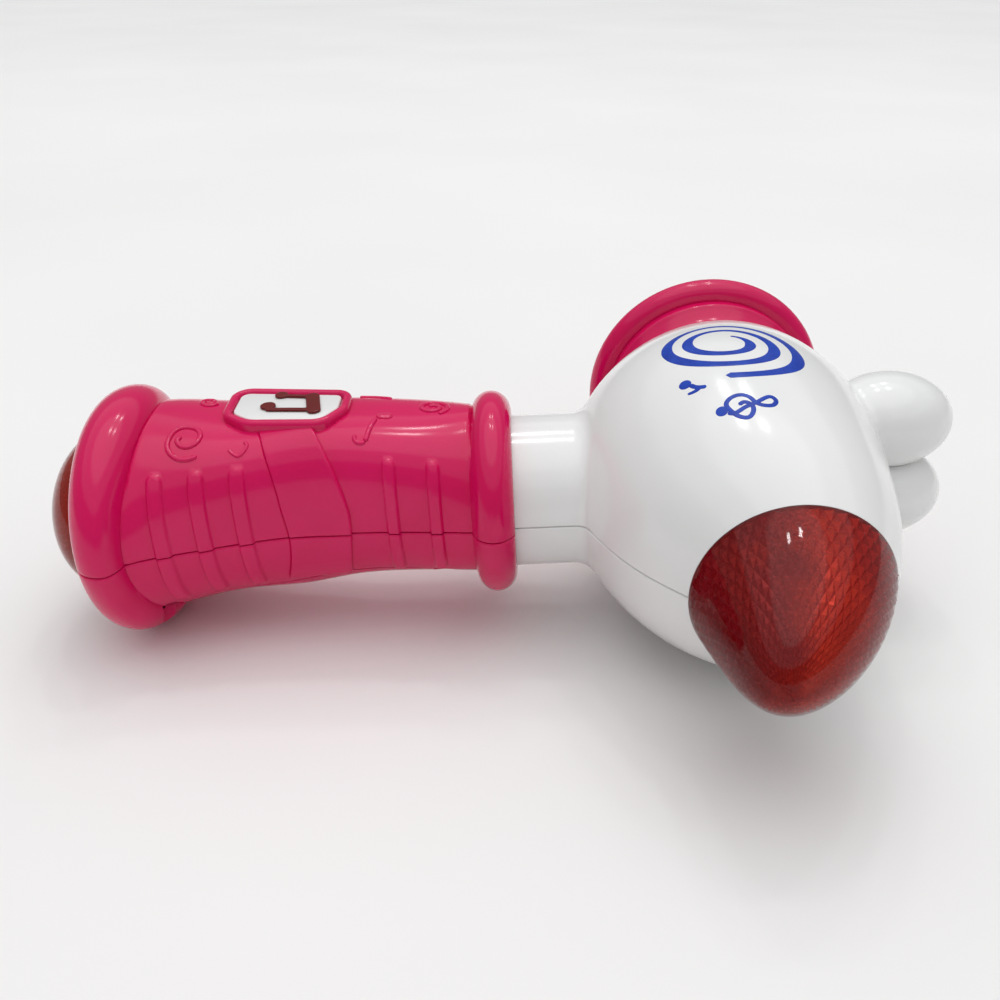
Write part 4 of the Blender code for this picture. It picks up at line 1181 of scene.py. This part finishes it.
def head_dome(t, angle, side_sink=0.0, tip_sink=0.0, out=0.0):
    """A point of the head lens: t runs from its base to its tip, sunk by the given depths."""
    height = LENS_HEIGHT - tip_sink
    radius = (LENS_RADIUS - side_sink + out) * math.sqrt(max(0.0, 1 - t ** 1.1))
    lean = LENS_HEIGHT * (LENS_LEAN[0] * t + LENS_LEAN[1] * t * t)
    return (HEAD_FRONT_X + lean + radius * math.cos(angle), HEAD_FRONT - FIT - height * t - out,
            radius * math.sin(angle))


def butt_dome(t, angle, side_sink=0.0, tip_sink=0.0, out=0.0):
    """A point of the butt's lens, in the same way."""
    scale = math.sqrt(max(0.0, 1 - t * t))
    wide, tall = (a - 0.35 - side_sink + out for a in BUTT_MOUTH)
    return (BUTT_LENS_X - (BUTT_LENS_HEIGHT - tip_sink) * t - out, wide * scale * math.cos(angle),
            tall * scale * math.sin(angle))


def facet_skin(dome, sinks, columns, rows):
    """A dome of small pyramids; every other point of the lattice stands out."""
    verts, faces = [], []
    for j in range(rows):
        t = math.sin(math.pi / 2 * j / rows)
        for i in range(columns):
            out = FACET_RELIEF * (1 - 0.8 * j / rows) if (i + j) % 2 else 0.0
            verts.append(dome(t, 2 * math.pi * i / columns, *sinks, out))
    verts.append(dome(1.0, 0.0, *sinks, 0.0))
    tip = len(verts) - 1
    for j in range(rows):
        for i in range(columns):
            a, b = j * columns + i, j * columns + (i + 1) % columns
            if j == rows - 1:
                faces.append([a, b, tip])
                continue
            c, d = a + columns, b + columns
            if (i + j) % 2:
                faces += [[a, b, c], [b, d, c]]
            else:
                faces += [[a, b, d], [a, d, c]]
    return verts, faces


def lens(name, dome, skirt, facets, looks):
    """A clear smooth dome on its skirt, whose inner face is cut into facets."""
    segments, steps = 96, 40
    angles = np.linspace(0, 2 * math.pi, segments, endpoint=False)
    rings = [[ring(a) for a in angles] for ring in skirt]
    rings += [[dome(min(1.0, math.sin(math.pi / 2 * k / steps)), a) for a in angles] for k in range(steps)]
    verts, faces = loft(rings, ends=False)
    tip = len(verts)
    verts = np.vstack([verts, [dome(1.0, 0.0)]])
    top = (len(rings) - 1) * segments
    faces += [[top + i, top + (i + 1) % segments, tip] for i in range(segments)]
    faces.append(list(range(segments))[::-1])
    cut_verts, cut_faces = facet_skin(dome, *facets)
    lid = list(range(facets[1]))
    form = merged((verts, faces), (cut_verts, [*cut_faces, lid]))
    clear, cut = looks
    piece(name + "_detail", form, clear, (name,), second=(cut, len(faces)), sharp=60)


def head_skirt(radius, y):
    return lambda a: (HEAD_FRONT_X + radius * math.cos(a), y, radius * math.sin(a))


def butt_skirt(grow, x):
    wide, tall = (m - 0.35 for m in BUTT_MOUTH)
    return lambda a: (x, wide * grow * math.cos(a), tall * grow * math.sin(a))


def lenses():
    radius = HEAD_MOUTH - FIT
    skirt = [head_skirt(radius, y) for y in (HEAD_LENS_FOOT, HEAD_FRONT - FIT)]
    lens("head_lens", head_dome, skirt, HEAD_FACETS, ("lens", "facets"))
    low = BUTT_CAVITY_X + FIT
    high, flange = low + 1.6, 1.11
    skirt = [butt_skirt(grow, x) for grow, x in ((1.0, high), (flange, high), (flange, low), (1.0, low))]
    lens("butt_lens", butt_dome, skirt, BUTT_FACETS, ("butt_lens", "butt_facets"))


# ---- bell


def bell():
    flare = curve(BELL_FLARE)
    outer = [(y, float(flare(y))) for y in np.linspace(BELL_FLARE[0][0], BELL_FLARE[-1][0], 16)]
    bead = [(BELL_RING_Y + BELL_BEAD * math.sin(a), BELL_RING_RADIUS + BELL_BEAD * math.cos(a))
            for a in np.radians(np.linspace(*BELL_ARC))]
    face = [(65.95, BELL_RING_RADIUS - 2.9), (65.7, BELL_RECESS + 0.4), (65.2, BELL_RECESS),
            (BELL_BORE[0][0], BELL_RECESS)]
    profile = [*outer, *BELL_STEP, *bead, *face, *BELL_BORE]
    form = turned(profile, ROUND, centre=(HEAD_BACK_X, 0.0), closed=True)
    piece("bell_detail", form, "pink", ("bell",), sharp=50)


def slot_cutter(x, half_length):
    """What cuts one round-ended sound slot."""
    half_width = SOUND_SLOT[1]
    angles = np.linspace(-math.pi / 2, math.pi / 2, 9)
    ends = [(half_width * math.sin(a), (half_length - half_width) + half_width * math.cos(a)) for a in angles]
    outline = [*ends, *[(-u, -v) for u, v in ends]]
    rings = [[(x + u, y, v) for u, v in outline] for y in (GRILLE_Y[0] - 1, GRILLE_Y[1] + 1)]
    return loft(rings)


def grille():
    low, high = GRILLE_Y
    edge = BELL_RECESS - FIT
    profile = ((low, edge), (high - 0.3, edge), (high - 0.1, edge - 0.1), (high, edge - 0.4))
    disc = turned(profile, ROUND, centre=(HEAD_BACK_X, 0.0))
    pitch, _, field = SOUND_SLOT
    cutters = [slot_cutter(HEAD_BACK_X + i * pitch, math.sqrt(field ** 2 - (i * pitch) ** 2))
               for i in range(-3, 4)]
    piece("speaker_grille_detail", carved(disc, *cutters), "pink", ("speaker_grille",),
          sharp=30)


# ---- screws


def screw_field(points):
    """A pan head with a cross recess, resting under z = 0 and facing down."""
    x, y, z = points.T
    radius, height = SCREW_HEAD
    across = np.hypot(x, y)
    dome = np.hypot(across / radius, (z + 0.4) / (height - 0.4)) - 1
    head = larger(np.where(z < -0.4, dome * 1.6, across - radius), z, 0.15)
    thin, long = SLOT_HALF
    arms = np.minimum(np.maximum(np.abs(x) - thin, np.abs(y) - long),
                      np.maximum(np.abs(y) - thin, np.abs(x) - long))
    recess = np.maximum(arms, z + height - SLOT_DEPTH)
    return larger(head, -recess, 0.08)


def screws():
    head = blended(screw_field, *SCREW_BOX, SCREW_GRID)
    wells = {f"{part}_screw_{i + 1}": (*at, SCREW_SEAT, SCREW_TIP)
             for part, places in (("handle", HANDLE_SCREWS), ("head", HEAD_SCREWS))
             for i, at in enumerate(places)}
    wells["battery_door_screw"] = (*DOOR_SCREW, DOOR_SEAT, DOOR_SCREW_TIP)
    for name, (x, y, seat, tip) in wells.items():
        verts = head[0] + np.array((x, y, seat - 0.06))
        shank = turned(((seat - 0.5, SCREW_SHANK), (tip - 1.2, SCREW_SHANK), (tip, 0.15)), 20, "Z", (x, y))
        body = "battery_door" if name == "battery_door_screw" else "toy"
        piece(name + "_detail", merged((verts, head[1]), shank), "steel", (name,), body,
              sharp=40)


# ---- stage, light and camera

FLOOR_HALF = 20.0  # metres, like the lamps' places and sizes below
LAMP_MIDDLE = (0.1, 0.75, 1.7)
LAMP_SPREAD = (0.17, 0.26)
LAMP_SIZE = 0.09
LAMP_POWER = 0.9
DIM, HALF, BRIGHT, FULL = (0.16, 0.16, 0.16), (0.46, 0.46, 0.47), (0.95, 0.95, 0.96), (1.0, 1.0, 1.0)
ROOM = ((0.0, DIM), (0.745, DIM), (0.765, HALF), (0.91, HALF), (0.93, BRIGHT), (1.0, FULL))
ROOM_STRENGTH = 1.75
CAMERA_PLACE = (-58.449, -244.860, 138.411)
CAMERA_TILT = (30.0172, -1.6985, -3.2892)  # down, sideways and roll, in degrees
CAMERA_LENS = 35.957


def floor():
    made, tree, shader = new_look("pale_floor")
    cloud = noise(tree, 3.0)
    colour = ramp(tree, cloud, ((0.3, (0.84, 0.84, 0.83)), (0.7, (0.88, 0.88, 0.87))))
    feed(tree, shader, {"Base Color": colour, "Roughness": 0.9})
    corners = [(x * FLOOR_HALF, y * FLOOR_HALF, 0) for x, y in ((-1, -1), (1, -1), (1, 1), (-1, 1))]
    obj = raw_object("floor", corners, [[0, 1, 2, 3]])
    obj.data.materials.append(made)


def lights():
    """Four small lamps over and behind the toy; the world gives the soft light."""
    for i, j in itertools.product((-1, 1), repeat=2):
        data = bpy.data.lights.new(f"lamp_{i}_{j}", "AREA")
        data.shape = "RECTANGLE"
        data.size = data.size_y = LAMP_SIZE
        data.energy = LAMP_POWER
        obj = bpy.data.objects.new(data.name, data)
        bpy.context.scene.collection.objects.link(obj)
        x, y, z = LAMP_MIDDLE
        place = Vector((x + LAMP_SPREAD[0] * i, y + LAMP_SPREAD[1] * j, z))
        obj.location = place
        obj.rotation_euler = (Vector((0.0, 0.0, 0.05)) - place).to_track_quat("-Z", "Y").to_euler()


def world():
    """A room that is bright overhead, half bright in a band round it and dim near the floor."""
    made = bpy.data.worlds.new("room")
    bpy.context.scene.world = made
    made.use_nodes = True
    tree = made.node_tree
    place = node(tree, "TexCoord", "Generated", {})
    height = node(tree, "SeparateXYZ", "Z", {"Vector": place})
    half = node(tree, "MapRange", "Result", {"From Min": -1.0, "Value": height})
    feed(tree, tree.nodes["Background"], {"Color": ramp(tree, half, ROOM), "Strength": ROOM_STRENGTH})


def camera():
    down, side, roll = (math.radians(a) for a in CAMERA_TILT)
    ahead = np.array((math.sin(side) * math.cos(down), math.cos(side) * math.cos(down), -math.sin(down)))
    right = np.cross(ahead, (0.0, 0.0, 1.0))
    right /= np.linalg.norm(right)
    up = np.cross(right, ahead)
    c, s = math.cos(roll), math.sin(roll)
    right, up = c * right + s * up, c * up - s * right
    data = bpy.data.cameras.new("camera")
    data.lens = CAMERA_LENS
    data.sensor_width = 36.0
    data.clip_start, data.clip_end = 0.01, 30.0
    obj = bpy.data.objects.new("camera", data)
    bpy.context.scene.collection.objects.link(obj)
    turn = BASIS @ np.column_stack((right, up, -ahead))
    obj.matrix_world = Matrix.Translation(placed([CAMERA_PLACE])[0]) @ Matrix(turn.tolist()).to_4x4()
    bpy.context.scene.camera = obj


def main():
    bpy.context.scene.view_settings.view_transform = "Standard"
    for step in (dress_inner_nodes, handle_upper, handle_lower, battery_door, button_cap, button_note,
                 head_shells, print_pieces, lenses, bell, grille, screws, floor, lights, world, camera):
        step()


main()
